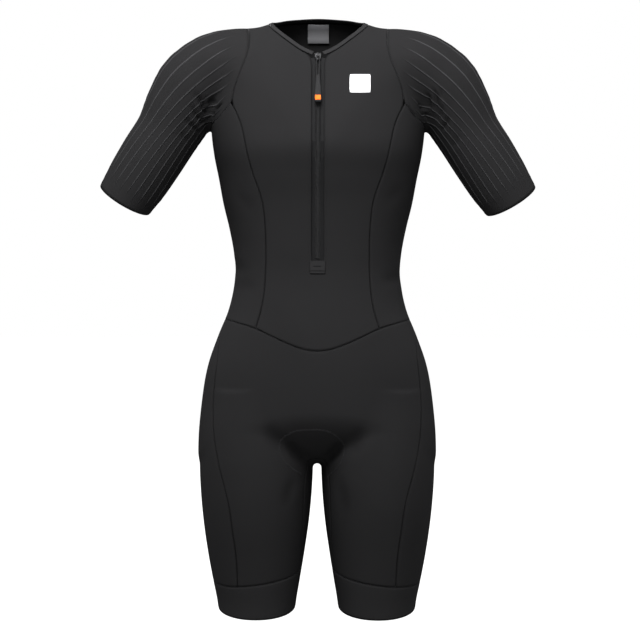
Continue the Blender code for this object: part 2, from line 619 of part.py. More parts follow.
def build_sleeves(seams):
    """A sleeve from the armhole to its hem, with raised ribs along it."""
    armhole = np.concatenate(
        [seams["armhole_front"][:-1], seams["armhole_side"][:-1], seams["armhole_back"]]
    )
    lengths = np.concatenate([[0], np.cumsum(np.linalg.norm(np.diff(armhole, axis=0), axis=1))])
    turn = 2 * np.pi * lengths / lengths[-1]
    middle, axis = np.array(SLEEVE_GUIDE[-1], float), np.array(SLEEVE_AXIS, float)
    axis /= np.linalg.norm(axis)
    outer = np.array((-axis[2], 0, axis[0]))
    front = np.array((0, -1.0, 0)) + SLEEVE_HEM_SLOPE * axis
    rays = np.cos(turn)[:, None] * outer + np.sin(turn)[:, None] * front
    hem = first_change(np.tile(middle, (len(rays), 1)), rays, 120)
    guide = np.array(SLEEVE_GUIDE, float)
    run = np.concatenate([[0], np.cumsum(np.linalg.norm(np.diff(guide, axis=0), axis=1))])
    line = smooth_rows([(s, *p) for s, p in zip(run, guide)])(np.linspace(0, run[-1], SLEEVE_ROWS + 1)).T
    first, last = armhole - guide[0], hem - middle
    first /= np.linalg.norm(first, axis=1, keepdims=True)
    last /= np.linalg.norm(last, axis=1, keepdims=True)
    rows = [armhole]
    for t, centre in zip(np.linspace(0, 1, SLEEVE_ROWS + 1)[1:-1], line[1:-1]):
        rays = (1 - t) * first + t * last
        rays /= np.linalg.norm(rays, axis=1, keepdims=True)
        rows.append(first_change(np.tile(centre, (len(rays), 1)), rays, 150))
    coarse = np.stack(rows + [hem])[:, :-1]
    for _ in range(SLEEVE_SMOOTHING):
        inner = coarse[1:-1]
        beside = np.roll(inner, 1, axis=1) + np.roll(inner, -1, axis=1)
        evened = 0.4 * inner + 0.15 * (coarse[:-2] + coarse[2:] + beside)
        coarse[1:-1] = onto_form(evened.reshape(-1, 3), 4).reshape(inner.shape)
    following = np.roll(coarse, -1, axis=1)
    parts = [coarse + (following - coarse) * t for t in RIB_COLUMNS]
    grid = np.stack(parts, axis=2).reshape(SLEEVE_ROWS + 1, -1, 3)
    grid[1:] = onto_form(grid[1:].reshape(-1, 3)).reshape(grid[1:].shape)
    grid = np.concatenate([grid, grid[:, :1]], axis=1)
    ends = slope(coarse[0])[0]
    edge_out = np.concatenate([ends + (np.roll(ends, -1, axis=0) - ends) * t for t in RIB_COLUMNS])
    edge_points = np.concatenate([part[0] for part in parts])
    on_edge, on_ribs = tree_of(edge_points), tree_of(grid[1:-1, :-1:len(RIB_COLUMNS)].reshape(-1, 3))

    def facing(points):
        out, growth = slope(points)
        for index, (x, y, z) in enumerate(points):
            _, nearest, away = on_edge.find((abs(x), y, z))
            if away < 2 * ARMPIT_HALF_GAP:
                out[index] = edge_out[nearest] * (1 if x > 0 else -1, 1, 1)
        return out, growth

    def raised(points):
        away = [on_ribs.find((abs(x), y, z))[2] for x, y, z in points]
        return np.where(np.array(away) < 0.05, RIB_HEIGHT, 0.0)

    for name, points in (("sleeve_left", grid), ("sleeve_right", mirrored(grid))):
        wall = make_wall(sheet_of(points), CLOTH, gap=ARMPIT_HALF_GAP, raised=raised, facing=facing)
        place(name, wall, "sleeve_fabric")


def build_binding(seams):
    """The band that finishes the neck, open at the zip."""
    half = np.concatenate([seams["neck_front"][::-1], seams["neck_back"][1:]])
    edge = np.concatenate([half, (half * (-1, 1, 1))[::-1][1:]])
    outs = slope(edge)[0]
    tangents = np.gradient(edge, axis=0)
    inwards = np.cross(tangents, outs)
    inwards /= np.linalg.norm(inwards, axis=1, keepdims=True)
    if inwards[len(half) // 2][0] > 0:
        inwards = -inwards
    rows = [edge] + [onto_form(edge + inwards * BINDING_WIDTH * part) for part in (0.5, 1)]
    wall = make_wall(sheet_of(np.stack(rows)), BINDING_CLOTH, sunk=-BINDING_PROUD)
    place("neck_binding", wall, "binding")


def seen_grid(across, heights):
    return np.stack([seen([(x, z) for x in across]) for z in heights])


def build_zip_cloth():
    """The two tapes behind the slit, and the patch that closes its lower end."""
    heights = np.linspace(SLIT_TOP_Z - 2, SLIT_END_Z - 14, 14)
    grid = seen_grid((0.05, SLIT_HALF_WIDTH - 3, TAPE_HALF_WIDTH), heights)
    for name, points in (("zip_tape_left", grid), ("zip_tape_right", mirrored(grid))):
        place(name, make_wall(sheet_of(points), TAPE_THICKNESS, sunk=CLOTH + UNDER_GAP), "zip_tape")
    half = END_PATCH["width"] / 2
    grid = seen_grid(np.linspace(-half, half, 5), np.linspace(END_PATCH["top"], END_PATCH["bottom"], 4))
    lifted = -(LAYER_GAP + END_PATCH["thickness"])
    place("zip_end_patch", make_wall(sheet_of(grid), END_PATCH["thickness"], sunk=lifted), "binding")


def build_chest_patch():
    """A plain bare patch on the wearer's left breast, with rounded corners."""
    across = np.linspace(CHEST_PATCH["left"], CHEST_PATCH["right"], 8)
    heights = np.linspace(CHEST_PATCH["top"], CHEST_PATCH["bottom"], 8)
    pairs = np.stack(np.meshgrid(across, heights), axis=-1)
    middle = pairs.mean(axis=(0, 1))
    for row in (0, -1):
        for column in (0, -1):
            pairs[row, column] += (middle - pairs[row, column]) * 0.09
    grid = seen(pairs.reshape(-1, 2)).reshape(8, 8, 3)
    lifted = -(LAYER_GAP + CHEST_PATCH["thickness"])
    place("chest_patch", make_wall(sheet_of(grid), CHEST_PATCH["thickness"], sunk=lifted), "chest_patch")


def build_label():
    """The bare label inside the back of the neck."""
    half = LABEL["width"] / 2
    rows = []
    for z in np.linspace(LABEL["top"], LABEL["bottom"], 5):
        starts = np.array([(x, 20.0, z) for x in np.linspace(-half, half, 5)])
        rows.append(first_change(starts, np.tile((0, 1.0, 0), (5, 1)), 140))
    wall = make_wall(sheet_of(np.stack(rows)), LABEL["thickness"], sunk=CLOTH + LABEL["gap"])
    place("neck_label", wall, "neck_label")


def box(low, high, bevel=0.0):
    """A closed block between two corners, in millimetres, with its edges rounded."""
    mesh = bmesh.new()
    low, high = Vector(low) * MM, Vector(high) * MM
    size = Matrix.Diagonal((*(high - low), 1))
    bmesh.ops.create_cube(mesh, size=1, matrix=Matrix.Translation((low + high) / 2) @ size)
    if bevel:
        bmesh.ops.bevel(
            mesh, geom=mesh.edges[:], offset=bevel * MM, affect="EDGES", segments=2, profile=0.5, material=-1
        )
    return mesh


def outline_block(outline, half_thickness, along_x=False):
    """A flat outline of pairs made into a block: in the x-z plane, or in the y-z plane with its thickness along x."""
    mesh = bmesh.new()
    if along_x:
        verts = [mesh.verts.new(Vector((-half_thickness, y, z)) * MM) for y, z in outline]
        move = Vector((2 * half_thickness, 0, 0)) * MM
    else:
        verts = [mesh.verts.new(Vector((x, -half_thickness, z)) * MM) for x, z in outline]
        move = Vector((0, 2 * half_thickness, 0)) * MM
    face = mesh.faces.new(verts)
    made = bmesh.ops.extrude_face_region(mesh, geom=[face], use_keep_orig=True)["geom"]
    bmesh.ops.translate(mesh, verts=[v for v in made if isinstance(v, bmesh.types.BMVert)], vec=move)
    bmesh.ops.recalc_face_normals(mesh, faces=mesh.faces[:])
    return mesh


def combine(thing, mesh, operation):
    """Joins a shape to an object, or cuts it out, with a Boolean that stays on the object."""
    data = bpy.data.meshes.new(thing.name + "_" + operation.lower())
    mesh.to_mesh(data)
    mesh.free()
    helper = bpy.data.objects.new(data.name, data)
    bpy.context.scene.collection.objects.link(helper)
    helper.parent = thing.parent
    helper.hide_render = True
    helper.display_type = "WIRE"
    modifier = thing.modifiers.new(operation.title(), "BOOLEAN")
    modifier.operation = operation
    modifier.object = helper


def zip_frame():
    """Where the slider sits: its place on the form, and its axes with -Y pointing out of the cloth and Z up it."""
    place_on = seen([(0, SLIDER_Z)])
    place_on[:, 0] = 0
    out = slope(place_on)[0][0]
    out[0] = 0
    out /= np.linalg.norm(out)
    matrix = Matrix.Identity(4)
    x_axis, y_axis = Vector((1, 0, 0)), Vector(-out)
    for column, axis in enumerate((x_axis, y_axis, x_axis.cross(y_axis))):
        matrix.col[column][:3] = axis
    matrix.translation = Vector(place_on[0]) * MM
    return matrix


def empty(name, matrix):
    thing = bpy.data.objects.new(name, None)
    bpy.context.scene.collection.objects.link(thing)
    thing.matrix_world = matrix
    return thing


def build_slider(frame):
    """The slider at the top of the zip, with the bridge that carries the pull."""
    at = empty("zip_slider_place", frame)
    wide, long = SLIDER["width"] / 2, SLIDER["length"] / 2
    body = box((-wide, -SLIDER["over"], -long), (wide, SLIDER["under"], long), bevel=0.8)
    slider = place("zip_slider", body, "zip_metal", at)
    foot = -SLIDER["over"] + 0.6
    top, reach, wall = -BRIDGE["top"], BRIDGE["length"] / 2, BRIDGE["wall"]
    outline = (
        (foot, -reach), (top + 1.2, -reach), (top, -reach + 1.2), (top, reach - 1.2), (top + 1.2, reach),
        (foot, reach), (foot, reach - wall), (top + wall, reach - wall), (top + wall, -reach + wall),
        (foot, -reach + wall),
    )
    combine(slider, outline_block(outline, BRIDGE["width"] / 2, along_x=True), "UNION")


def rest_turn(frame):
    """How far the pull turns out of the slider's frame so that it lies on the cloth below."""
    pin = frame @ Vector((0, -PIN_HEIGHT * MM, 0)) / MM
    length = PULL["loop_length"] + STRAP["length"] + TAG["length"]
    reaches = np.linspace(8, length, 12)
    heights = pin.z - reaches
    cloth = first_change(np.array([(0, 0, z) for z in heights]), np.tile((0, -1.0, 0), (12, 1)), 160)
    needed = TAG["thickness"] / 2 + PULL_CLEARANCE
    leans = np.arctan2(pin.y - (cloth[:, 1] - needed), pin.z - cloth[:, 2])
    return float(leans.max())


def build_pull(frame):
    """The pull: a loop through the slider's bridge, a strap and a coloured end, all turning about the loop's top."""
    pin = frame @ Vector((0, -PIN_HEIGHT * MM, 0))
    matrix = Matrix.Translation(pin) @ Matrix.Rotation(-rest_turn(frame), 4, "X")
    at = empty("zip_pull_place", matrix)
    half, slot, low = PULL["width"] / 2, PULL["slot"] / 2, -PULL["loop_length"]
    thick, pin_half = PULL["thickness"] / 2, PIN_THICKNESS / 2
    loop = box((-half, -thick, low), (half, thick, pin_half), bevel=0.45)
    pull = place("zip_pull", loop, "pull_strap", at)
    combine(pull, box((-slot, -3, low + 3), (slot, 3, -pin_half)), "DIFFERENCE")
    wide, end = STRAP["width"] / 2, low - STRAP["length"]
    strap = box((-wide, -STRAP["thickness"] / 2, end), (wide, STRAP["thickness"] / 2, low + 2.5), bevel=0.6)
    combine(pull, strap, "UNION")
    wide, start = TAG["width"] / 2, end - 0.3
    tag = box((-wide, -TAG["thickness"] / 2, start - TAG["length"]), (wide, TAG["thickness"] / 2, start), bevel=0.7)
    place("zip_pull_tag", tag, "pull_tag", at)
    print("zip pull axis at", tuple(round(value, 5) for value in pin))


def main():
    for thing in list(bpy.data.objects):
        bpy.data.objects.remove(thing)
    seams = draw_seams()
    build_top(seams)
    build_shorts(seams)
    build_bands(seams)
    build_sleeves(seams)
    build_binding(seams)
    build_zip_cloth()
    build_chest_patch()
    build_label()
    frame = zip_frame()
    build_slider(frame)
    build_pull(frame)


main()
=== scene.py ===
# %% [markdown]
# A triathlon suit is sewn from stretch knit panels that meet on seams which follow the body. Here it is
# filled out as if worn, with nobody in it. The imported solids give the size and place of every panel, so this
# lesson starts by loading them, and each panel is then rebuilt as fine cloth on the same form. Sizes in the
# tables are millimetres.

# %% Load the frame
import itertools
import json
import math

import bmesh
import bpy
import numpy as np
from mathutils import Matrix, Vector
from mathutils.kdtree import KDTree


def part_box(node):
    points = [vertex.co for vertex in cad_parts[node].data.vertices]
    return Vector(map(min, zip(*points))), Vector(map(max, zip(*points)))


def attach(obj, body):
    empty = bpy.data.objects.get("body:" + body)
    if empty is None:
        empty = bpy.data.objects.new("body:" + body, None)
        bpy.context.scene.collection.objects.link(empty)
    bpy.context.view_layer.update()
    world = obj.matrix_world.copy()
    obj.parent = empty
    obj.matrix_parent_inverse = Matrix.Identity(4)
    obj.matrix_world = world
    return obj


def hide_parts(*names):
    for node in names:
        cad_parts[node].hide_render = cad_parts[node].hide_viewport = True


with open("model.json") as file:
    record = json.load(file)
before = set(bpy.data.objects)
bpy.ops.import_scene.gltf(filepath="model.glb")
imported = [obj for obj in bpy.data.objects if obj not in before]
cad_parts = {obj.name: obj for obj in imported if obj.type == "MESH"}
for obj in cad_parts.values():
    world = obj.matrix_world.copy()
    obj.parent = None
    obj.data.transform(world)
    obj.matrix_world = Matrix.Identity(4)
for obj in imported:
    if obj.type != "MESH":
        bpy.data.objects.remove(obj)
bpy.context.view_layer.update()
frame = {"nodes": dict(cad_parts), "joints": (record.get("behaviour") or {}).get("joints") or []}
MM = 0.001
SCENE = bpy.context.scene

# %% [markdown]
# The photograph was taken straight from the front, from a distance. A long lens 2.2 m away gives the same
# view, and the camera stands at the height of the picture's middle. The picture is 640 pixels wide, each 1.42
# mm at the suit. It is turned by a tenth of a degree or so, because the suit hangs a little askew.

# %% Camera
PICTURE_WIDTH = 640
PIXEL = 1.42 * MM
CAMERA_DISTANCE = 2.2
CAMERA_HEIGHT = -0.4189
SUIT_MIDDLE_PIXEL = 317.5
CAMERA_ROLL = 0.15
SENSOR = 36

camera_data = bpy.data.cameras.new("camera")
camera_data.sensor_width = SENSOR
camera_data.lens = SENSOR * CAMERA_DISTANCE / (PIXEL * PICTURE_WIDTH)
camera = bpy.data.objects.new("camera", camera_data)
SCENE.collection.objects.link(camera)
camera.location = ((PICTURE_WIDTH / 2 - SUIT_MIDDLE_PIXEL) * PIXEL, -CAMERA_DISTANCE, CAMERA_HEIGHT)
camera.rotation_euler = (math.radians(90), 0, 0)
camera.rotation_euler.rotate_axis("Z", math.radians(CAMERA_ROLL))
SCENE.camera = camera
print("lens", round(camera_data.lens, 1), "mm")

# %% [markdown]
# Black cloth needs a lot of light before its shapes show. The surroundings are plain white, and one large
# soft lamp above the chest lights the chest and the fronts of the thighs, while the belly and the sides fall
# off into the dark. Weaker lamps behind light the back and the sides. The floor glows, as a light table does,
# so that it is as white as the surroundings and throws none of the lamp's light up under the sleeves.

# %% Floor and light
FLOOR_Z = -0.90
FLOOR_SIZE = 80
FLOOR_GLOW = 0.95
SURROUND = 1.0
CONTRAST = 0.86  # below 1 deepens the darks and leaves white alone
LAMPS = (
    # name, place, size, power
    ("key", (-0.2, -1.25, 1.25), 1.0, 165),
    ("fill", (1.3, -2.9, 0.3), 1.6, 16),
    ("back", (-0.6, 2.8, 1.4), 1.6, 200),
    ("left_side", (2.2, 1.2, 0.8), 1.2, 95),
    ("right_side", (-2.2, 1.2, 0.8), 1.2, 95),
)
LIT_POINT = Vector((0, 0, -0.32))

world = bpy.data.worlds.new("studio")
world.use_nodes = True
world.node_tree.nodes["Background"].inputs["Color"].default_value = (1, 1, 1, 1)
world.node_tree.nodes["Background"].inputs["Strength"].default_value = SURROUND
SCENE.world = world
SCENE.view_settings.view_transform = "Standard"
SCENE.view_settings.gamma = CONTRAST

for name, place, size, power in LAMPS:
    lamp_data = bpy.data.lights.new(name, "AREA")
    lamp_data.size = size
    lamp_data.energy = power
    lamp = bpy.data.objects.new(name, lamp_data)
    SCENE.collection.objects.link(lamp)
    lamp.location = place
    lamp.rotation_euler = (LIT_POINT - lamp.location).to_track_quat("-Z", "Y").to_euler()

floor_mesh = bmesh.new()
bmesh.ops.create_grid(floor_mesh, x_segments=1, y_segments=1, size=FLOOR_SIZE / 2)
bmesh.ops.translate(floor_mesh, verts=floor_mesh.verts, vec=(0, 0, FLOOR_Z))
floor_data = bpy.data.meshes.new("floor")
floor_mesh.to_mesh(floor_data)
floor_mesh.free()
floor = bpy.data.objects.new("floor", floor_data)
SCENE.collection.objects.link(floor)
print("lamps:", len(LAMPS))

# %% [markdown]
# A shader is arithmetic on sockets, which is easier to read as Python than as a drawing of nodes. The class
# Value wraps a socket, and each operator on it adds one Math node. Finish.node adds any other node: it sets
# the node's own settings first and then its sockets, each from a number, a colour or a Value.

# %% Shader arithmetic
class Value:
    """A number that runs through a material's nodes."""

    def __init__(self, finish, socket):
        self.finish = finish
        self.socket = socket

    def calculate(self, operation, *values):
        return self.finish.node("ShaderNodeMath", {"operation": operation}, dict(enumerate(values)))

    def __add__(self, other):
        return self.calculate("ADD", self, other)

    def __radd__(self, other):
        return self.calculate("ADD", other, self)

    def __sub__(self, other):
        return self.calculate("SUBTRACT", self, other)

    def __rsub__(self, other):
        return self.calculate("SUBTRACT", other, self)

    def __mul__(self, other):
        return self.calculate("MULTIPLY", self, other)

    def __rmul__(self, other):
        return self.calculate("MULTIPLY", other, self)

    def __truediv__(self, other):
        return self.calculate("DIVIDE", self, other)

    def sine(self):
        return self.calculate("SINE", self)

    def kept_between_0_and_1(self):
        return self.finish.node("ShaderNodeClamp", {}, {"Value": self})


class Finish:
    """A material: a Principled shader and the nodes that feed it."""

    def __init__(self, name, roughness, metallic=0.0):
        self.material = bpy.data.materials.new(name)
        self.material.use_nodes = True
        self.nodes = self.material.node_tree.nodes
        self.shader = self.nodes["Principled BSDF"]
        self.shader.inputs["Roughness"].default_value = roughness
        self.shader.inputs["Metallic"].default_value = metallic

    def feed(self, socket, value):
        if isinstance(value, Value):
            self.material.node_tree.links.new(value.socket, socket)
        else:
            socket.default_value = value

    def node(self, kind, settings=None, sockets=None, output=0):
        made = self.nodes.new(kind)
        for setting, value in (settings or {}).items():
            setattr(made, setting, value)
        for socket, value in (sockets or {}).items():
            self.feed(made.inputs[socket], value)
        return Value(self, made.outputs[output])

    def place(self):
        """Where on the object a point is, in metres."""
        return self.node("ShaderNodeTexCoord", output="Object")

    def attribute(self, name, output="Fac"):
        """A number, or with output Vector three of them, that the mesh carries at its points."""
        return self.node("ShaderNodeAttribute", {"attribute_name": name}, output=output)

    def noise(self, scale, detail=2.0, vector=None):
        """A noise from 0 to 1 with blobs about 1 / scale metres across."""
        sockets = {"Vector": vector or self.place(), "Scale": scale, "Detail": detail}
        return self.node("ShaderNodeTexNoise", {}, sockets)

    def mix(self, factor, first, second):
        """A colour between two colours."""
        sockets = {0: factor, 6: first, 7: second}
        return self.node("ShaderNodeMix", {"data_type": "RGBA"}, sockets, output=2)

    def bump(self, height, depth, before=None):
        """A normal for a relief of that depth in millimetres."""
        sockets = {"Height": height, "Distance": depth * MM, "Strength": 1.0}
        if before is not None:
            sockets["Normal"] = before
        return self.node("ShaderNodeBump", {}, sockets)

    def wear(self, thing):
        thing.data.materials.clear()
        thing.data.materials.append(self.material)


def grey(level, warmth=0.0):
    """A dark neutral colour, a little blue unless it is warmed."""
    return (level * (1 + warmth), level, level * (1.04 - warmth), 1)


print("shader arithmetic ready")

# %% [markdown]
# The cloth lies on one smooth form, which is the shape of the space that a wearer would fill. It is written
# as a field: a number for each point that is below 0 inside, 0 on the surface and above 0 outside. The trunk,
# the arms and the legs are fields from a few sizes each, and a smooth minimum joins them. These are the sizes
# that the solids were made from. The field gives exact smooth places and outward directions, which no patch
# of flat faces has.

# %% Sizes of the form
NEAREST_FIELD_STEP = 0.25  # for the slope of the form

# Rows of the trunk: height, half width, depth to the front, depth to the back
TRUNK = (
    (60, 132, 58, 70),
    (20, 138, 62, 76),
    (-20, 143, 72, 86),
    (-60, 146, 86, 96),
    (-100, 148, 97, 103),
    (-148, 151, 108, 106),
    (-185, 147, 114, 104),
    (-220, 140, 107, 99),
    (-255, 133.5, 99, 93),
    (-290, 125, 94, 87),
    (-325, 118.5, 91, 83),
    (-350, 116.5, 90, 83),
    (-375, 119, 91, 87),
    (-405, 126, 94, 96),
    (-440, 140, 98, 108),
    (-480, 154, 101, 118),
    (-530, 163, 101, 125),
    (-580, 166.5, 98, 124),
    (-620, 166, 94, 114),
    (-700, 160, 88, 100),
)
TRUNK_POWER = 2.25  # 2 is an ellipse, more is squarer

# Rows of the shoulder line: distance from the middle, height of the ridge, how far back the ridge lies
SHOULDER = (
    (-25, 19, 34),
    (0, 21, 36),
    (25, 19, 34),
    (48, 14, 26),
    (70, 2.5, 14),
    (100, -10, 8),
    (130, -15, 6),
    (165, -24, 6),
    (220, -40, 6),
)
SHOULDER_ROUNDNESS = 66  # radius of the shoulder, front to back
SHOULDER_BLEND = 26

# Rows of a sleeve's middle line: across, height, back, radius
ARM = (
    (120, -62, 6, 46),
    (150, -72, 6, 55.5),
    (170, -84, 6, 56),
    (192, -113, 6, 51.5),
    (213, -151, 6, 45.5),
    (236, -187, 6, 45),
    (256, -219, 6, 43.5),
    (275.5, -249.5, 6, 40),
    (300, -288, 6, 36),
)
ARM_STEPS = 28
ARM_BLEND_TOP = 34
ARM_BLEND_PIT = 9

# Rows of a leg: height, distance of its middle from the suit's middle, half width, depth to the front, to the back
LEG = (
    (-520, 84, 70, 84, 96),
    (-570, 85.5, 78, 90, 108),
    (-626, 86, 80, 92, 104),
    (-660, 86, 78.5, 90, 97),
    (-703, 86, 74.5, 84, 90),
    (-745, 86, 68.5, 75, 84),
    (-788, 85.5, 61, 66, 77),
    (-815, 85, 56, 61, 72),
    (-860, 85, 52, 57, 68),
)
LEG_POWER = 2.1
LEG_BLEND = 7
CROTCH_Z = -622
CROTCH_ROUNDNESS = 85  # radius of the saddle, front to back
CROTCH_BLEND = 18


def smooth_rows(rows):
    """A function of the first column that runs smoothly through the other columns of a table."""
    table = np.array(sorted(rows), float)
    at, values = table[:, 0], table[:, 1:]
    slopes = np.gradient(values, at, axis=0)

    def value(x):
        x = np.clip(np.asarray(x, float), at[0], at[-1])
        i = np.clip(np.searchsorted(at, x) - 1, 0, len(at) - 2)
        width = at[i + 1] - at[i]
        t = (x - at[i]) / width
        t, width = t[..., None], width[..., None]
        ends = (2 * t**3 - 3 * t**2 + 1) * values[i] + (3 * t**2 - 2 * t**3) * values[i + 1]
        bends = (t**3 - 2 * t**2 + t) * slopes[i] + (t**3 - t**2) * slopes[i + 1]
        return np.moveaxis(ends + width * bends, -1, 0)

    return value


def smooth_min(a, b, blend):
    """The nearer of two fields, rounded where they meet."""
    overlap = np.maximum(blend - np.abs(a - b), 0)
    return np.minimum(a, b) - overlap**2 / (4 * blend)


def smooth_max(a, b, blend):
    return -smooth_min(-a, -b, blend)


trunk_at = smooth_rows(TRUNK)
shoulder_at = smooth_rows(SHOULDER)
leg_at = smooth_rows(LEG)


def arm_line():
    """Points down the middle of a sleeve, close together, each with its radius."""
    rows = np.array(ARM, float)
    along = np.concatenate([[0], np.cumsum(np.linalg.norm(np.diff(rows[:, :3], axis=0), axis=1))])
    line = smooth_rows([(s, *row) for s, row in zip(along, rows)])
    x, z, y, radius = line(np.linspace(0, along[-1], ARM_STEPS))
    return np.stack([x, y, z], axis=1), radius


ARM_POINTS, ARM_RADII = arm_line()


def section(across, along, half_width, depth, power):
    """How far outside a rounded section a point lies, about in millimetres, and negative inside it."""
    reach = (np.abs(across / half_width) ** power + np.abs(along / depth) ** power) ** (1 / power)
    return (reach - 1) * np.minimum(half_width, depth)


def trunk_field(x, y, z):
    half_width, front, back = trunk_at(z)
    sides = section(x, y, half_width, np.where(y < 0, front, back), TRUNK_POWER)
    ridge_z, ridge_y = shoulder_at(x)
    roof = z - (ridge_z - (y - ridge_y) ** 2 / (2 * SHOULDER_ROUNDNESS))
    floor = CROTCH_Z + y**2 / (2 * CROTCH_ROUNDNESS) - z
    return smooth_max(smooth_max(sides, 0.8 * roof, SHOULDER_BLEND), floor, CROTCH_BLEND)


def arm_field(points):
    start, end = ARM_POINTS[:-1], ARM_POINTS[1:]
    run = end - start
    best = np.full(len(points), np.inf)
    for a, d, r0, r1 in zip(start, run, ARM_RADII[:-1], ARM_RADII[1:]):
        t = np.clip((points - a) @ d / (d @ d), 0, 1)
        away = np.linalg.norm(points - a - t[:, None] * d, axis=1)
        best = np.minimum(best, away - (r0 + t * (r1 - r0)))
    return best


def form_field(points):
    """The hollow form that the cloth lies on: 0 on its surface, negative inside. Points in millimetres."""
    points = np.asarray(points, float)
    x, y, z = np.abs(points[:, 0]), points[:, 1], points[:, 2]
    trunk = trunk_field(x, y, z)
    arm = arm_field(np.stack([x, y, z], axis=1))
    high = np.clip((z + 115) / 60, 0, 1)
    body = smooth_min(trunk, arm, ARM_BLEND_PIT + (ARM_BLEND_TOP - ARM_BLEND_PIT) * high)
    middle, half_width, front, back = leg_at(z)
    leg = section(x - middle, y, half_width, np.where(y < 0, front, back), LEG_POWER)
    leg = np.maximum(leg, z - LEG[0][0])
    return smooth_min(body, leg, LEG_BLEND)


def slope(points):
    """The direction that points straight out of the form, and how fast the field grows that way."""
    steps = np.eye(3) * NEAREST_FIELD_STEP
    grown = [form_field(points + s) - form_field(points - s) for s in steps]
    gradient = np.stack(grown, axis=1) / (2 * NEAREST_FIELD_STEP)
    size = np.linalg.norm(gradient, axis=1, keepdims=True)
    return gradient / np.maximum(size, 1e-9), np.maximum(size[:, 0], 1e-9)


def onto_form(points, rounds=14):
    """Points moved the short way onto the form's surface."""
    points = np.array(points, float)
    for _ in range(rounds):
        out, growth = slope(points)
        step = np.clip(form_field(points) / growth, -15, 15)
        points = points - out * step[:, None]
    return points


def first_change(starts, directions, reach, step=3.0):
    """Where rays first cross the form's surface, else their nearest place."""
    distances = np.arange(0, reach, step)
    fields = np.stack([form_field(starts + directions * d) for d in distances])
    crosses = np.sign(fields[1:]) != np.sign(fields[:1])
    met = crosses.any(axis=0)
    index = np.where(met, crosses.argmax(axis=0), np.abs(fields[1:]).argmin(axis=0))
    near, far = distances[index], distances[index + 1]
    first_sign = np.sign(fields[0])
    for _ in range(24):
        middle = (near + far) / 2
        same = np.sign(form_field(starts + directions * middle[:, None])) == first_sign
        near, far = np.where(same & met, middle, near), np.where(same & met, far, middle)
    return starts + directions * near[:, None]


# Where the front is looked at from when its seams are drawn, so that a seam's x and z are as seen
EYE = np.array((0, -2200, -419), float)
EYE_STARTS = 1950  # the form is further away than this


def seen(pairs):
    """Points of the front of the form for the x and z at which they are seen, measured where y is 0."""
    pairs = np.array(pairs, float)
    aims = np.stack([pairs[:, 0], np.zeros(len(pairs)), pairs[:, 1]], axis=1)
    directions = aims - EYE
    directions /= np.linalg.norm(directions, axis=1, keepdims=True)
    return onto_form(first_change(EYE + directions * EYE_STARTS, directions, 300))


def along(guide, count):
    """A smooth curve on the form through guide points, as count + 1 evenly spread points."""
    guide = np.array(guide, float)
    at = np.concatenate([[0], np.cumsum(np.linalg.norm(np.diff(guide, axis=0), axis=1))])
    curve = smooth_rows([(s, *p) for s, p in zip(at, guide)])
    dense = onto_form(curve(np.linspace(0, at[-1], 12 * count + 1)).T, 6)
    run = np.concatenate([[0], np.cumsum(np.linalg.norm(np.diff(dense, axis=0), axis=1))])
    even = np.linspace(0, run[-1], count + 1)
    points = onto_form(np.stack([np.interp(even, run, dense[:, k]) for k in range(3)], axis=1))
    return points

# %% [markdown]
# The suit's fabric is a fine stretch knit, dyed black. Close up it shows columns of stitches under a
# millimetre apart, and from further away a soft mottle, because the stretched knit is a little thinner in
# some places. The columns follow the cloth, so they read the piece's UV map, which holds the distance round
# the body and along it in metres. Each piece also carries a value that is 1 at a sewn edge and in the deepest
# fold troughs. There the cloth lies in shadow, and that shadow is painted into the colour as a darker knit.

# %% Knitted fabric
WALE = 0.9 * MM  # width of one column of stitches
TURN = 2 * math.pi
# painted shade: how much darker the knit is painted at sewn edges and in fold troughs
PAINTED_SHADE_STRENGTH = 0.3
KNIT_GLOSS = 0.0  # a black knit scatters all the light that it returns


def knit(name, level, roughness, relief, wale=WALE, rib_level=None):
    """A matte black knit with its columns and rows as a small relief. A rib_level makes its ribs lighter."""
    finish = Finish(name, roughness)
    cloth = finish.node("ShaderNodeUVMap", {"uv_map": "cloth"})
    across = finish.node("ShaderNodeSeparateXYZ", {}, {"Vector": cloth}, output="X")
    down = finish.node("ShaderNodeSeparateXYZ", {}, {"Vector": cloth}, output="Y")
    columns = (across * (TURN / wale)).sine() * 0.5 + 0.5
    rows = (down * (TURN / (0.8 * wale)) + columns * 2).sine() * 0.5 + 0.5
    fuzz = finish.noise(1600, 1)
    mottle = finish.noise(11, 3)
    # Painted shade: where the value read here is 1, at sewn edges and in fold troughs, the colour is made darker
    # to stand for shadow. The mottle and the fuzz are the knit's own tone.
    painted_shade = finish.attribute("painted_shade")
    light = (mottle * 0.35 + 0.82) * (fuzz * 0.24 + 0.88) * (1 - painted_shade * PAINTED_SHADE_STRENGTH)
    colour = finish.mix(light.kept_between_0_and_1(), grey(level * 0.25), grey(level * 1.2, 0.01))
    if rib_level:
        crest = (finish.attribute("rib") * 2 - 1).kept_between_0_and_1()
        colour = finish.mix(crest, colour, grey(rib_level))
    finish.feed(finish.shader.inputs["Base Color"], colour)
    finish.feed(finish.shader.inputs["Roughness"], mottle * 0.12 + roughness - 0.06)
    weave = finish.bump(columns * 0.6 + rows * 0.4, relief)
    finish.feed(finish.shader.inputs["Normal"], finish.bump(fuzz, 0.6 * relief, weave))
    finish.shader.inputs["Specular IOR Level"].default_value = KNIT_GLOSS
    return finish


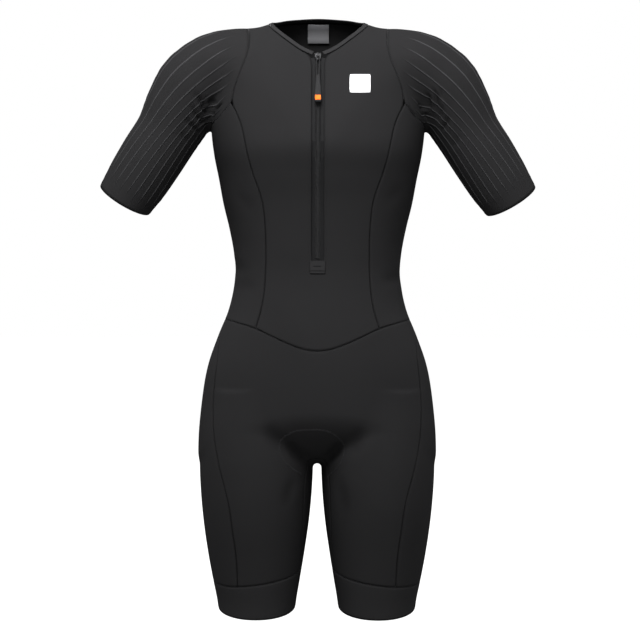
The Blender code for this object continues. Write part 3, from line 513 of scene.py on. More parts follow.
suit_fabric = knit("suit_fabric", 0.0102, 0.66, 0.04)
suit_backing = knit("suit_backing", 0.008, 0.8, 0.04)
sleeve_fabric = knit("sleeve_fabric", 0.0102, 0.6, 0.02, wale=1.1 * MM, rib_level=0.03)
leg_band_fabric = knit("leg_band_fabric", 0.011, 0.74, 0.07, wale=1.3 * MM)
binding_fabric = knit("binding_fabric", 0.013, 0.6, 0.05, wale=1.1 * MM)
print("knitted fabrics: 5")

# %% [markdown]
# The threads are polyester, a little shinier than the knit. The zip's slider is painted metal, its coil is
# nylon, and the pull is a moulded rubber sleeve on a cord. None of these is one flat value in life: the paint
# is thinner on edges that rub, and moulded rubber has a fine grain. The label and the patch are films with a
# soft surface.

# %% Thread, metal, rubber and film


def grained(name, colour, roughness, metallic=0.0, grain=900, relief=0.02, variation=0.2, gloss=0.03):
    """A plain material with a fine grain, whose colour and gloss vary a little."""
    finish = Finish(name, roughness, metallic)
    fine = finish.noise(grain, 3)
    broad = finish.noise(60, 2)
    dark = tuple(part * (1 - variation) for part in colour[:3]) + (1,)
    light = tuple(min(1, part * (1 + variation)) for part in colour[:3]) + (1,)
    shade = (fine * 0.6 + broad * 0.4).kept_between_0_and_1()
    finish.feed(finish.shader.inputs["Base Color"], finish.mix(shade, dark, light))
    finish.feed(finish.shader.inputs["Roughness"], broad * 0.16 + roughness - 0.08)
    finish.feed(finish.shader.inputs["Normal"], finish.bump(fine, relief))
    finish.shader.inputs["Specular IOR Level"].default_value = gloss
    return finish


thread = grained("thread", grey(0.014), 0.5, grain=2600, relief=0.03)
light_thread = grained("light_thread", grey(0.036), 0.5, grain=2600, relief=0.03)
tack_thread = grained("tack_thread", grey(0.006), 0.7, grain=2600, relief=0.03)
tape_weave = grained("tape_weave", grey(0.0085), 0.75, grain=1500, relief=0.06)
pad_thread = grained("pad_thread", grey(0.034), 0.5, grain=2600, relief=0.03)
coil_nylon = grained("coil_nylon", grey(0.0125), 0.5, grain=1200, gloss=0.1)
slider_paint = grained(
    "slider_paint", grey(0.02), 0.38, metallic=0.85, grain=500, relief=0.01, variation=0.35, gloss=0.5
)
pull_rubber = grained("pull_rubber", grey(0.012), 0.55, grain=1500, relief=0.03)
pull_cord = grained("pull_cord", grey(0.013), 0.6, grain=2200, relief=0.08)
tag_rubber = grained("tag_rubber", (0.42, 0.085, 0.012, 1), 0.45, grain=700, relief=0.02, variation=0.08)
label_film = grained("label_film", grey(0.15), 0.6, grain=1300, relief=0.04, variation=0.14)
patch_film = grained("patch_film", (0.40, 0.40, 0.405, 1), 0.42, grain=1100, relief=0.02, variation=0.05)
floor_paint = grained(
    "floor_paint", (0.06, 0.06, 0.06, 1), 0.9, grain=3, relief=0.0, variation=0.01, gloss=0.0
)
floor_paint.shader.inputs["Emission Color"].default_value = (1, 1, 1, 1)
floor_paint.shader.inputs["Emission Strength"].default_value = FLOOR_GLOW
floor_paint.wear(floor)
print("other finishes: 14")

# %% [markdown]
# A packed panel is a wall with an outside, an inside and a rim, in flat triangles. For the cloth only the
# outside is wanted, and as quads, because quads subdivide evenly. So a copy of the solid is welded, the inner
# points go, and the pairs of triangles are joined. A point is an inner one if it lies below the form and has
# no other point below it: a few outer ones lie below the form too, where a straight edge cuts across a curve.
# A Subdivision Surface then makes the sheet fine, and moving each new point onto the form takes out the
# flats.

# %% From a packed wall to a fine sheet
WELD = 0.01  # points closer than this are one
WALL_MIDDLE = -0.6  # the inside of the wall is deeper than this
PARTNER_REACH = 2.1  # an outer point has its inner partner within this distance
PARTNER_DEPTH = 0.85  # and at least this much deeper
RIB_LIFT = 0.3  # a point that stands higher than this is on a rib
LEVELS = 3


def tree_of(points):
    """A tree that finds the nearest of some points."""
    tree = KDTree(len(points))
    for index, point in enumerate(points):
        tree.insert(point, index)
    tree.balance()
    return tree


def outside_of(node):
    """The outside of a packed wall as an open sheet of quads, with a value called rib on its raised lines."""
    mesh = bmesh.new()
    mesh.from_mesh(frame["nodes"][node].data)
    bmesh.ops.remove_doubles(mesh, verts=mesh.verts[:], dist=WELD * MM)
    heights = form_field(np.array([vert.co for vert in mesh.verts]) / MM)
    rib = mesh.verts.layers.float.new("rib")
    for vert, height in zip(mesh.verts, heights):
        vert[rib] = float(height > RIB_LIFT)
    places = np.array([vert.co for vert in mesh.verts]) / MM
    tree = tree_of(places)
    inner = []
    for vert, place, height in zip(mesh.verts, places, heights):
        near = [index for _, index, _ in tree.find_range(place, PARTNER_REACH)]
        if height < WALL_MIDDLE and heights[near].min() > height - PARTNER_DEPTH:
            inner.append(vert)
    bmesh.ops.delete(mesh, geom=inner, context="VERTS")
    bmesh.ops.join_triangles(
        mesh, faces=mesh.faces[:], angle_face_threshold=math.pi, angle_shape_threshold=math.pi,
        topology_influence=1,
    )
    return mesh


def object_of(name, mesh):
    """A named object at the origin that holds a finished bmesh."""
    data = bpy.data.meshes.new(name)
    mesh.to_mesh(data)
    mesh.free()
    data.shade_smooth()
    thing = bpy.data.objects.new(name, data)
    SCENE.collection.objects.link(thing)
    return thing


def subdivided(name, mesh, levels):
    """The object's mesh as its Subdivision Surface makes it, so that its points can be moved by hand."""
    thing = object_of(name, mesh)
    surface = thing.modifiers.new("Fine", "SUBSURF")
    surface.levels = surface.render_levels = levels
    surface.boundary_smooth = "PRESERVE_CORNERS"
    graph = bpy.context.evaluated_depsgraph_get()
    fine = bpy.data.meshes.new_from_object(thing.evaluated_get(graph))
    thing.modifiers.clear()
    thing.data = fine
    fine.name = name
    return thing


def points_of(thing):
    """The object's points in millimetres."""
    points = np.empty(3 * len(thing.data.vertices), np.float32)
    thing.data.vertices.foreach_get("co", points)
    return points.reshape(-1, 3).astype(float) / MM


def move_points(thing, points):
    thing.data.vertices.foreach_set("co", (points * MM).astype(np.float32).ravel())
    thing.data.update()


def rims_of(thing):
    """The open edges of a sheet as runs of point numbers in order, each run closed."""
    uses = {}
    for polygon in thing.data.polygons:
        for edge in polygon.edge_keys:
            uses[edge] = uses.get(edge, 0) + 1
    beside = {}
    for (a, b), count in uses.items():
        if count == 1:
            beside.setdefault(a, []).append(b)
            beside.setdefault(b, []).append(a)
    runs = []
    while beside:
        run = [next(iter(beside))]
        while run[-1] in beside:
            onward = [other for other in beside.pop(run[-1]) if other in beside]
            if not onward:
                break
            run.append(onward[0])
        runs.append(run)
    return runs


print("sheet tools ready")

# %% [markdown]
# Folds are listed one by one. Each is a soft trough with a low ridge beside it, from one place to another as
# seen from the front or the back, with a width and a depth in millimetres. Cloth that is full round an arm
# gathers below the shoulder, so the deepest ones spread from the armpits. Fainter ones cross the small of the
# back, the tops of the legs and the cloth below the seat, where the photograph shows few or the view doesn't
# reach.

# %% Folds
FRONT_FOLDS = (
    # x and z at one end, x and z at the other, bow sideways, width, depth
    (-169, -95, -151, -136, 3, 2.8, 4.2),
    (-160, -101, -147, -128, -2, 2.3, 3.2),
    (-179, -114, -158, -142, 3, 2.6, 3.2),
    (-146, -96, -148, -127, 2, 2.3, 3.3),
    (-136, -112, -147, -124, 1, 2.1, 2.5),
    (-188, -130, -166, -154, 2, 3, 2.2),
    (-176, -92, -163, -112, 2, 2.8, 1.7),
    (155, -94, 159, -126, -2, 2.5, 3.6),
    (165, -91, 168, -124, -3, 2.8, 3.9),
    (141, -109, 155, -133, -1, 2.3, 3.3),
    (176, -112, 170, -136, -2, 2.5, 2.9),
    (130, -112, 141, -131, 2, 2.1, 2.3),
    (186, -128, 174, -150, -2, 3, 2.3),
    (172, -88, 176, -106, -1, 2.8, 1.7),
    (-198, -150, -181, -166, 2, 5, 1),
    (203, -155, 187, -172, -2, 5, 0.9),
    (-40, -590, -16, -616, 5, 8, 2.6),
    (32, -590, 12, -616, -5, 8, 2.8),
    (-72, -566, -38, -606, 6, 10, 1.4),
    (66, -570, 34, -606, -6, 11, 1.3),
    (-30, -640, -44, -690, 4, 10, 1.2),
    (28, -640, 40, -700, -4, 11, 1),
    (-126, -338, -92, -350, 3, 9, 0.8),
    (124, -352, 88, -360, -3, 9, 0.9),
    (-122, -372, -84, -372, -3, 10, 0.7),
    (-112, -236, -88, -262, 4, 9, 0.6),
    (118, -224, 92, -250, -4, 10, 0.6),
)
BACK_FOLDS = (
    (-168, -100, -146, -136, 3, 2.8, 3.9),
    (-180, -116, -158, -142, 3, 2.8, 3),
    (-152, -92, -142, -122, -2, 2.5, 2.9),
    (-136, -104, -140, -128, 1, 2.5, 2),
    (166, -96, 148, -132, -3, 2.8, 4.1),
    (178, -112, 160, -140, -3, 2.6, 2.9),
    (150, -96, 140, -124, 2, 2.3, 3),
    (134, -108, 139, -128, -1, 2.5, 2.2),
    (-70, -322, 64, -330, 7, 9, 1.5),
    (-92, -352, 84, -348, -6, 10, 1.7),
    (-60, -380, 88, -374, 5, 10, 1.2),
    (-88, -296, -24, -306, 4, 9, 0.8),
    (30, -300, 92, -292, -4, 9, 0.8),
    (-112, -610, -34, -622, 9, 11, 2),
    (106, -612, 30, -621, -9, 11, 2.2),
    (-98, -650, -46, -648, 6, 12, 1.1),
    (96, -646, 44, -654, -6, 12, 1),
    (-64, -150, -98, -196, 6, 13, 1),
    (60, -146, 96, -200, -6, 13, 1),
)
FOLD_POINTS = 9
RIDGE_PLACE = 1.9  # how far beside the trough its ridge runs, in widths
RIDGE_HEIGHT = 0.35  # as a part of the trough's depth


def seen_from(pairs, side):
    """Points of the form for x and z as seen from the front, with side 1, or from behind, with side -1."""
    pairs = np.array(pairs, float)
    aims = np.stack([pairs[:, 0], np.zeros(len(pairs)), pairs[:, 1]], axis=1)
    eye = EYE * (1, side, 1)
    directions = aims - eye
    directions /= np.linalg.norm(directions, axis=1, keepdims=True)
    return onto_form(first_change(eye + directions * EYE_STARTS, directions, 300))


def fold_lines(rows, side):
    """The bottoms of folds as runs of points on the form, each with its width and depth."""
    t = np.linspace(0, 1, FOLD_POINTS)
    places = []
    for x0, z0, x1, z1, bow, _, _ in rows:
        across = np.array((z1 - z0, x0 - x1)) / math.hypot(x1 - x0, z1 - z0)
        straight = np.stack([x0 + (x1 - x0) * t, z0 + (z1 - z0) * t], axis=1)
        places.append(straight + np.outer(4 * t * (1 - t) * bow, across))
    lines = seen_from(np.concatenate(places), side).reshape(len(rows), FOLD_POINTS, 3)
    return [(line, row[5], row[6]) for line, row in zip(lines, rows)]


def distance_to_line(points, line):
    """For each point its distance to a run of points, how far along the run it is, and on which side."""
    best = np.full(len(points), np.inf)
    at = np.zeros(len(points))
    beside = np.zeros(len(points))
    for index, (a, b) in enumerate(zip(line[:-1], line[1:])):
        run = b - a
        t = np.clip((points - a) @ run / (run @ run), 0, 1)
        away = points - a - t[:, None] * run
        distance = np.linalg.norm(away, axis=1)
        nearer = distance < best
        best = np.where(nearer, distance, best)
        at = np.where(nearer, (index + t) / (len(line) - 1), at)
        side = np.sign(away @ np.cross(run, (0.0, 1.0, 0.0)))
        beside = np.where(nearer, side, beside)
    return best, at, beside


FOLDS = fold_lines(FRONT_FOLDS, 1) + fold_lines(BACK_FOLDS, -1)


def fold_height(points):
    """How far the folds lift each point, below 0 in a trough."""
    height = np.zeros(len(points))
    for line, width, depth in FOLDS:
        reach = 5 * width
        near = ((points > line.min(axis=0) - reach) & (points < line.max(axis=0) + reach)).all(axis=1)
        if not near.any():
            continue
        away, at, beside = distance_to_line(points[near], line)
        fade = np.sin(np.pi * np.clip(at, 0.02, 0.98)) ** 0.8
        trough = np.exp(-((away / width) ** 2))
        ridge = np.exp(-(((away * beside - RIDGE_PLACE * width) / width) ** 2))
        height[near] += depth * fade * (RIDGE_HEIGHT * ridge - trough)
    return height


print("folds:", len(FOLDS))

# %% [markdown]
# Every panel is made in the same steps, so one function does them all: the fine sheet, its place on the form,
# its folds, the ribs of a sleeve, and the little roll inwards at each sewn edge. A value for painted shade, which
# darkens the knit at sewn edges and in fold troughs, and the UV map are stored on the points at the same time.
# Solidify gives the sheet its thickness at the end, inwards, so that the outside stays where it is.

# %% Making a panel
SUIT_BODY = "suit"
CLOTH = 1.2
EDGE_WIDTH = 1.5  # how far in from a sewn edge the cloth bends
EDGE_DROP = 0.3  # how far it drops there
RIB_HEIGHT = 0.8
RIB_START = 0.2  # narrows the foot of a rib
FULL_SHADE_DEPTH = 1.4  # a fold trough this deep gets as much painted shade as a sewn edge
AROUND_TRUNK = 140  # radius used to turn an angle round the trunk into a distance
AROUND_LEG = 72
LEGS_BELOW = -622
LEG_MIDDLE = 85.5


def cloth_places(points):
    """Distance round the body and distance along it, in metres, for the knit."""
    across, back, height = np.abs(points[:, 0]), points[:, 1], points[:, 2]
    trunk = np.arctan2(across, -back) * AROUND_TRUNK
    leg = np.arctan2(across - LEG_MIDDLE, -back) * AROUND_LEG
    around = np.where(height > LEGS_BELOW, trunk, leg)
    return np.stack([around, height], axis=1) * MM


def arm_places(points):
    """The same for a sleeve, with the distance along measured down the arm's middle line."""
    folded = points * np.where(points[:, :1] < 0, (-1, 1, 1), (1, 1, 1))
    away, along_arm, _ = distance_to_line(folded, ARM_POINTS)
    return np.stack([folded[:, 1] * 1.2, along_arm * 300], axis=1) * MM


def store(thing, name, values):
    """Stores a number for each point of the object."""
    layer = thing.data.attributes.get(name) or thing.data.attributes.new(name, "FLOAT", "POINT")
    layer.data.foreach_set("value", np.asarray(values, np.float32))


def store_places(thing, places):
    """Stores the cloth's own distances as a UV map."""
    layer = thing.data.uv_layers.get("cloth") or thing.data.uv_layers.new(name="cloth")
    corners = np.empty(len(thing.data.loops), np.int32)
    thing.data.loops.foreach_get("vertex_index", corners)
    layer.data.foreach_set("uv", places[corners].astype(np.float32).ravel())


def make_panel(node, finish, thickness=CLOTH, lift=0.0, places=cloth_places, folded=True):
    """Builds the fine cloth that stands for a packed panel."""
    thing = subdivided(node + "_cloth", outside_of(node), LEVELS)
    points = onto_form(points_of(thing), 6)
    out, _ = slope(points)
    ribs = np.empty(len(points), np.float32)
    thing.data.attributes["rib"].data.foreach_get("value", ribs)
    rims = rims_of(thing)
    rim_tree = tree_of(points[np.concatenate(rims)])
    to_edge = np.array([rim_tree.find(point)[2] for point in points])
    edge = np.clip(1 - to_edge / EDGE_WIDTH, 0, 1)
    rib = np.clip((ribs - RIB_START) / (1 - RIB_START), 0, 1)
    height = lift + RIB_HEIGHT * rib * rib * (3 - 2 * rib) - EDGE_DROP * edge**2
    folds = fold_height(points) if folded else np.zeros(len(points))
    height = height + folds
    # painted shade: 1 at a sewn edge and in the deepest fold troughs, where the knit is painted darker to stand
    # for shadow
    store(thing, "painted_shade", np.maximum(edge, np.clip(-folds / FULL_SHADE_DEPTH, 0, 1)))
    store_places(thing, places(points))
    move_points(thing, points + out * height[:, None])
    wall = thing.modifiers.new("Wall", "SOLIDIFY")
    wall.thickness = thickness * MM
    wall.offset = -1
    thing.data.materials.clear()
    finish.wear(thing)
    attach(thing, SUIT_BODY)
    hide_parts(node)
    flat_area = sum(polygon.area for polygon in thing.data.polygons) / FILLED_OUT
    PANELS[node] = {"thing": thing, "rims": [points[run] for run in rims], "area": flat_area}
    print(f"{node}: {len(thing.data.polygons)} quads, {flat_area * 1e4:.0f} square cm when cut")
    return thing


FILLED_OUT = 1.05  # filled out, the knit has this many times the area that was cut
PANELS = {}
print("panel tools ready")

# %% [markdown]
# The pattern of the suit: which panel is which cloth. Front and back are one piece each from shoulder to
# waist, and a narrow panel runs under each arm. The shorts have one front for both legs, a back for each leg
# and a strip through the crotch. The leg bands are a thicker elastic.

# %% All the panels
BAND_CLOTH = 1.5
BINDING_CLOTH = 1.7
BINDING_PROUD = 0.3
for node in (
    "front_panel", "back_panel", "side_panel_left", "side_panel_right", "shorts_front", "shorts_back_left",
    "shorts_back_right", "inner_leg",
):
    make_panel(node, suit_fabric)
for node in ("sleeve_left", "sleeve_right"):
    make_panel(node, sleeve_fabric, places=arm_places)
for node in ("leg_band_left", "leg_band_right"):
    make_panel(node, leg_band_fabric, thickness=BAND_CLOTH)
make_panel(
    "neck_binding", binding_fabric, thickness=BINDING_CLOTH, lift=BINDING_PROUD, folded=False
)

# %% [markdown]
# Two knit panels are joined with a flatlock seam: their edges meet and threads cross from one side to the
# other, so the seam lies flat on the skin. Behind it runs the turned edge of the cloth. The places of the
# seams are already known: they are where the rims of two panels lie side by side. Each such run gets a narrow
# strip behind it and a zigzag of thread on top.

# %% Runs along the seams
SEAM_REACH = 2.0  # rims closer than this belong to one seam
SHORTEST_RUN = 5  # points


def seam_runs(first, second):
    """Where two panels meet, as runs of points along the first one's rim."""
    tree = tree_of(np.concatenate(PANELS[second]["rims"]))
    runs = []
    for rim in PANELS[first]["rims"]:
        near = np.array([tree.find(point)[2] < SEAM_REACH for point in rim])
        if near.all():
            runs.append(np.concatenate([rim, rim[:1]]))
            continue
        start = int(np.flatnonzero(~near)[0])
        rim, near = np.roll(rim, -start, axis=0), np.append(np.roll(near, -start), False)
        for is_near, group in itertools.groupby(range(len(near)), key=lambda index: near[index]):
            numbers = list(group)
            if is_near and len(numbers) >= SHORTEST_RUN:
                runs.append(rim[numbers])
    return runs


def resampled(run, pitch):
    """Evenly spaced points along a run, with the direction along it, out of the form, and across it."""
    lengths = np.concatenate([[0], np.cumsum(np.linalg.norm(np.diff(run, axis=0), axis=1))])
    count = max(2, round(lengths[-1] / pitch) + 1)
    even = np.linspace(0, lengths[-1], count)
    points = np.stack([np.interp(even, lengths, run[:, k]) for k in range(3)], axis=1)
    ahead = np.gradient(points, axis=0)
    ahead /= np.maximum(np.linalg.norm(ahead, axis=1, keepdims=True), 1e-9)
    out, _ = slope(points)
    return points, ahead, out, np.cross(out, ahead)


def sheet_grids(name, grids, finish, thickness):
    """One piece of strips, each laid through a grid of points in millimetres."""
    mesh = bmesh.new()
    for grid in grids:
        rows, columns = grid.shape[0] - 1, grid.shape[1] - 1
        made = bmesh.ops.create_grid(mesh, x_segments=columns, y_segments=rows, size=1)["verts"]
        for vert in made:
            row = round((1 - vert.co.y) / 2 * rows)
            column = round((vert.co.x + 1) / 2 * columns)
            vert.co = Vector(grid[row, column]) * MM
    thing = object_of(name, mesh)
    wall = thing.modifiers.new("Wall", "SOLIDIFY")
    wall.thickness = thickness * MM
    wall.offset = 0
    finish.wear(thing)
    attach(thing, SUIT_BODY)
    return thing


def thread_piece(name, runs, radius, finish, body=SUIT_BODY, sides=0):
    """Threads or cords along runs of points, as one mesh."""
    curve = bpy.data.curves.new(name, "CURVE")
    curve.dimensions = "3D"
    curve.bevel_depth = radius * MM
    curve.bevel_resolution = sides
    curve.use_fill_caps = True
    for run in runs:
        spline = curve.splines.new("POLY")
        spline.points.add(len(run) - 1)
        spline.points.foreach_set("co", np.column_stack([run * MM, np.ones(len(run))]).ravel())
    guide = bpy.data.objects.new(name + "_guide", curve)
    SCENE.collection.objects.link(guide)
    graph = bpy.context.evaluated_depsgraph_get()
    thing = bpy.data.objects.new(name, bpy.data.meshes.new_from_object(guide.evaluated_get(graph)))
    bpy.data.objects.remove(guide)
    SCENE.collection.objects.link(thing)
    finish.wear(thing)
    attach(thing, body)
    return thing


def zigzag(run, pitch, half, lift):
    """A thread that crosses from side to side along a run."""
    points, _, out, across = resampled(run, pitch)
    swing = np.where(np.arange(len(points)) % 2, half, -half)
    return points + across * swing[:, None] + out * lift


def dashes(run, offset, lift, stitch=2.3, gap=0.8):
    """Separate straight stitches beside a run."""
    points, ahead, out, across = resampled(run, stitch + gap)
    start = points + across * offset + out * lift
    return [np.stack([a, a + way * stitch]) for a, way in zip(start, ahead)]

# %% Seam strips and flatlock
STRIP_HALF = 3.2
STRIP_DEPTH = 1.25
STRIP_CLOTH = 0.5
LOCK_PITCH = 1.5
LOCK_HALF = 1.5
LOCK_LIFT = -0.22
THREAD_RADIUS = 0.16
SEAMS = {"armhole": [], "body": [], "neck": []}
for pair in itertools.combinations(PANELS, 2):
    kind = "neck" if "neck_binding" in pair else "armhole" if "sleeve" in pair[0] + pair[1] else "body"
    SEAMS[kind] += seam_runs(*pair)
strips = []
for run in itertools.chain(*SEAMS.values()):
    points, _, out, across = resampled(run, 4)
    behind = points - out * STRIP_DEPTH
    strips.append(np.stack([behind + across * side for side in (-STRIP_HALF, 0, STRIP_HALF)], axis=1))
seam_strips = sheet_grids("seam_strips", strips, suit_backing, STRIP_CLOTH)
locked = {kind: [zigzag(run, LOCK_PITCH, LOCK_HALF, LOCK_LIFT) for run in SEAMS[kind]] for kind in SEAMS}
flatlock = thread_piece("flatlock_threads", locked["body"], THREAD_RADIUS, thread)
armhole_lock = thread_piece("armhole_threads", locked["armhole"], THREAD_RADIUS, light_thread)
print("seams:", len(strips), "thread faces:", len(flatlock.data.polygons) + len(armhole_lock.data.polygons))

# %% [markdown]
# A padded liner is sewn inside the shorts with a zigzag that shows on the outside as an outline. In front it
# curves round the top of the pad and down onto the thighs, and behind it is wider. Its thread is a little
# lighter.

# %% Outline of the seat pad
PAD_FRONT = (
    (-22, -638), (-36.5, -629), (-49, -615), (-53.5, -600), (-47, -585), (-31, -577), (-10, -575),
    (8, -575.5), (20, -579), (33, -589), (38.5, -603), (36, -618), (25, -632), (15, -642),
)
PAD_BACK = (
    (-28, -644), (-50, -626), (-64, -596), (-58, -562), (-32, -543), (0, -538),
    (31, -543), (57, -563), (64, -597), (50, -627), (28, -645),
)
PAD_PITCH = 2.3
PAD_HALF = 1.4
PAD_LIFT = 0.1
PAD_THREAD_RADIUS = 0.24


pad_runs = [along(seen_from(PAD_FRONT, 1), 60), along(seen_from(PAD_BACK, -1), 80)]
pad_runs = [run + slope(run)[0] * fold_height(run)[:, None] for run in pad_runs]
pad_lines = [zigzag(run, PAD_PITCH, PAD_HALF, PAD_LIFT) for run in pad_runs]
pad_stitches = thread_piece("pad_outline_threads", pad_lines, PAD_THREAD_RADIUS, pad_thread)
print("pad outline faces:", len(pad_stitches.data.polygons))

# %% [markdown]
# The zip is a nylon coil on two woven tapes. Each half of the coil is a row of little loops, and closed they
# mesh a half step apart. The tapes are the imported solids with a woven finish. The loops are short pieces of
# thick thread, and a row of straight stitches runs down each side, where the cloth is turned in and sewn to
# the tape.

# %% Coil and stitches of the zip
COIL_TOP = -56
COIL_BOTTOM = -333
COIL_PITCH = 1.7
COIL_REACH = 4.1
COIL_OVERLAP = 0.7
COIL_DEPTH = 1.5
COIL_RADIUS = 0.5
SLIT_HALF_WIDTH = 8.5

heights = np.arange(COIL_TOP, COIL_BOTTOM, -COIL_PITCH)
LOOP_ACROSS = np.array((-COIL_OVERLAP, 0.2 * COIL_REACH, 0.7 * COIL_REACH, COIL_REACH))
LOOP_LIFT = np.array((-0.35, 0.1, 0, -0.6)) - COIL_DEPTH
pairs = []
for side in (1, -1):
    for height in heights + (0 if side > 0 else COIL_PITCH / 2):
        pairs += [(side * x, height + 0.25 * (k % 2)) for k, x in enumerate(LOOP_ACROSS)]
places = seen(pairs)
places += slope(places)[0] * np.tile(LOOP_LIFT, len(pairs) // 4)[:, None]
loops = list(places.reshape(-1, 4, 3))
thread_piece("zip_coil", loops, COIL_RADIUS, coil_nylon)
for node in ("zip_tape_left", "zip_tape_right"):
    tape_weave.wear(frame["nodes"][node])
slit_heights = np.linspace(-52, -336, 70)
slit_edges = [seen([(side * (SLIT_HALF_WIDTH + 0.3), z) for z in slit_heights]) for side in (1, -1)]
zip_stitches = []
for side, run in zip((1, -1), slit_edges):
    for offset in (1.4, 3.4):
        zip_stitches += dashes(run, offset * side, 0.02)
zip_topstitch = thread_piece("zip_topstitch_threads", zip_stitches, 0.2, thread)
print("coil loops:", len(loops), "stitches:", len(zip_stitches))

# %% [markdown]
# The neck edge is bound with a folded tape, held by a row of straight stitches near its lower edge, and the
# end of the zip is closed by a small patch with two bar tacks, which are dense rows of thread.

# %% Binding stitches, end patch and bar tacks
PATCH_LIFT = 0.35
END_PATCH = {"width": 22, "top": -335, "bottom": -353, "thickness": 0.8}
BAR_TACKS = ((-342.5, 5.4), (-349, 10.8))
TACK_PITCH = 0.45


def film_grid(left, right, top, bottom, count=9, corner=0.035):
    """A grid of places seen from the front, with its corners drawn in a little."""
    pairs = np.stack(np.meshgrid(np.linspace(left, right, count), np.linspace(top, bottom, count)), axis=-1)
    middle = pairs.mean(axis=(0, 1))
    for row in (0, -1):
        for column in (0, -1):
            pairs[row, column] += (middle - pairs[row, column]) * corner
    return seen(pairs.reshape(-1, 2)).reshape(count, count, 3)


def film_piece(name, grid, lift, thickness, finish, node):
    """A thin patch laid through a grid of points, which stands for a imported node."""
    mesh = bmesh.new()
    bmesh.ops.create_grid(mesh, x_segments=grid.shape[1] - 1, y_segments=grid.shape[0] - 1, size=1)
    for vert in mesh.verts:
        row = round((1 - vert.co.y) / 2 * (grid.shape[0] - 1))
        column = round((vert.co.x + 1) / 2 * (grid.shape[1] - 1))
        vert.co = Vector(grid[row, column]) * MM
    thing = subdivided(name, mesh, 2)
    points = points_of(thing)
    rim_tree = tree_of(points[np.concatenate(rims_of(thing))])
    to_edge = np.array([rim_tree.find(point)[2] for point in points])
    out, _ = slope(points)
    # painted shade along the rim, where the patch is pressed down: the knit of the zip's end patch is painted
    # darker there
    store(thing, "painted_shade", np.clip(1 - to_edge / 1.6, 0, 1))
    store_places(thing, cloth_places(points))
    move_points(thing, points + out * (lift - 0.25 * np.clip(1 - to_edge / 0.8, 0, 1))[:, None])
    wall = thing.modifiers.new("Wall", "SOLIDIFY")
    wall.thickness = thickness * MM
    wall.offset = 1
    finish.wear(thing)
    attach(thing, SUIT_BODY)
    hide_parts(node)
    return thing


half = END_PATCH["width"] / 2
film_piece(
    "zip_end_patch_cloth", film_grid(-half, half, END_PATCH["top"], END_PATCH["bottom"]), PATCH_LIFT,
    END_PATCH["thickness"], binding_fabric, "zip_end_patch",
)
tacks = []
for height, reach in BAR_TACKS:
    across = np.arange(-reach, reach, TACK_PITCH)
    swing = np.where(np.arange(len(across)) % 2, 0.8, -0.8)
    places = seen([(x, height + up) for x, up in zip(across, swing)])
    tacks.append(places + slope(places)[0] * (PATCH_LIFT + END_PATCH["thickness"] + 0.2))
bar_tacks = thread_piece("zip_bar_tacks", tacks, 0.22, tack_thread)
binding_runs = seam_runs("neck_binding", "front_panel") + seam_runs("neck_binding", "back_panel")
binding_stitches = []
for run in binding_runs:
    inner = resampled(run, 3)
    towards_neck = np.sign((inner[3] @ np.array((0.0, 0.0, 1.0))).sum()) or 1.0
    binding_stitches += dashes(run, 1.6 * towards_neck, 0.35)
binding_topstitch = thread_piece("binding_topstitch_threads", binding_stitches, 0.17, thread)
print("bar tacks:", len(tacks), "binding stitches:", len(binding_stitches))

# %% [markdown]
# The label inside the neck and the patch on the chest are thin films pressed onto the cloth. The patch is
# laid through places seen from the front, so that it follows the chest, and its rim is pressed a little lower
# than its middle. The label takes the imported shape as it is, with its edge rounded by a Bevel.

# %% Label and chest patch
CHEST_PATCH = {"left": 45, "right": 74.5, "top": -70, "bottom": -96, "thickness": 0.4}
film_piece(
    "chest_patch_film",
    film_grid(CHEST_PATCH["left"], CHEST_PATCH["right"], CHEST_PATCH["top"], CHEST_PATCH["bottom"]),
    PATCH_LIFT, CHEST_PATCH["thickness"], patch_film, "chest_patch",
)
label_shape = bmesh.new()
label_shape.from_mesh(frame["nodes"]["neck_label"].data)
bmesh.ops.remove_doubles(label_shape, verts=label_shape.verts[:], dist=WELD * MM)
neck_label = object_of("neck_label_film", label_shape)
softened = neck_label.modifiers.new("Soft edge", "BEVEL")
softened.width = 0.15 * MM
softened.segments = 2
softened.limit_method = "ANGLE"
label_film.wear(neck_label)
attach(neck_label, SUIT_BODY)
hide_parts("neck_label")
print("films: 2")

# %% [markdown]
# The slider is a small metal casting: a base plate behind the coil, a top plate with side flanges in front of
# it, and a bridge over the top plate that carries the pull. It starts as a block whose lower end is drawn in,
# with bevelled edges. The bridge is a bent bar. It stays closed at the top of the zip, as in the photograph.

# %% Slider
SLIDER_Z = -45
SLIDER = {"width": 9, "length": 12, "under": 1.8, "over": 1.8}
BRIDGE = {"half_length": 4.3, "top": 5.4, "radius": 0.62}
FLANGE = {"in_from_edge": 0.5, "radius": 0.7}
SLIDER_CORNER = {"start": 0.66, "rise": 0.34, "growth": 1.6, "top_start": 0.8, "top_drop": 0.6}


def zip_frame():
    """The slider's place, in metres: -Y points out of the cloth and Z up it."""
    place = seen([(0, SLIDER_Z)])
    place[:, 0] = 0
    out = slope(place)[0][0]
    out[0] = 0
    out /= np.linalg.norm(out)
    matrix = Matrix.Identity(4)
    x_axis, y_axis = Vector((1, 0, 0)), Vector(-out)
    for column, axis in enumerate((x_axis, y_axis, x_axis.cross(y_axis))):
        matrix.col[column][:3] = axis
    matrix.translation = Vector(place[0]) * MM
    return matrix


def slider_width(up):
    """How wide the slider is from its lower end, 0, to its upper end, 1, as a part of its full width."""
    return SLIDER_CORNER["start"] + SLIDER_CORNER["rise"] * min(1, SLIDER_CORNER["growth"] * up)


def slider_waist(up):
    """The same for its plates, whose upper corners are drawn in."""
    return slider_width(up) - SLIDER_CORNER["top_drop"] * max(0, up - SLIDER_CORNER["top_start"])


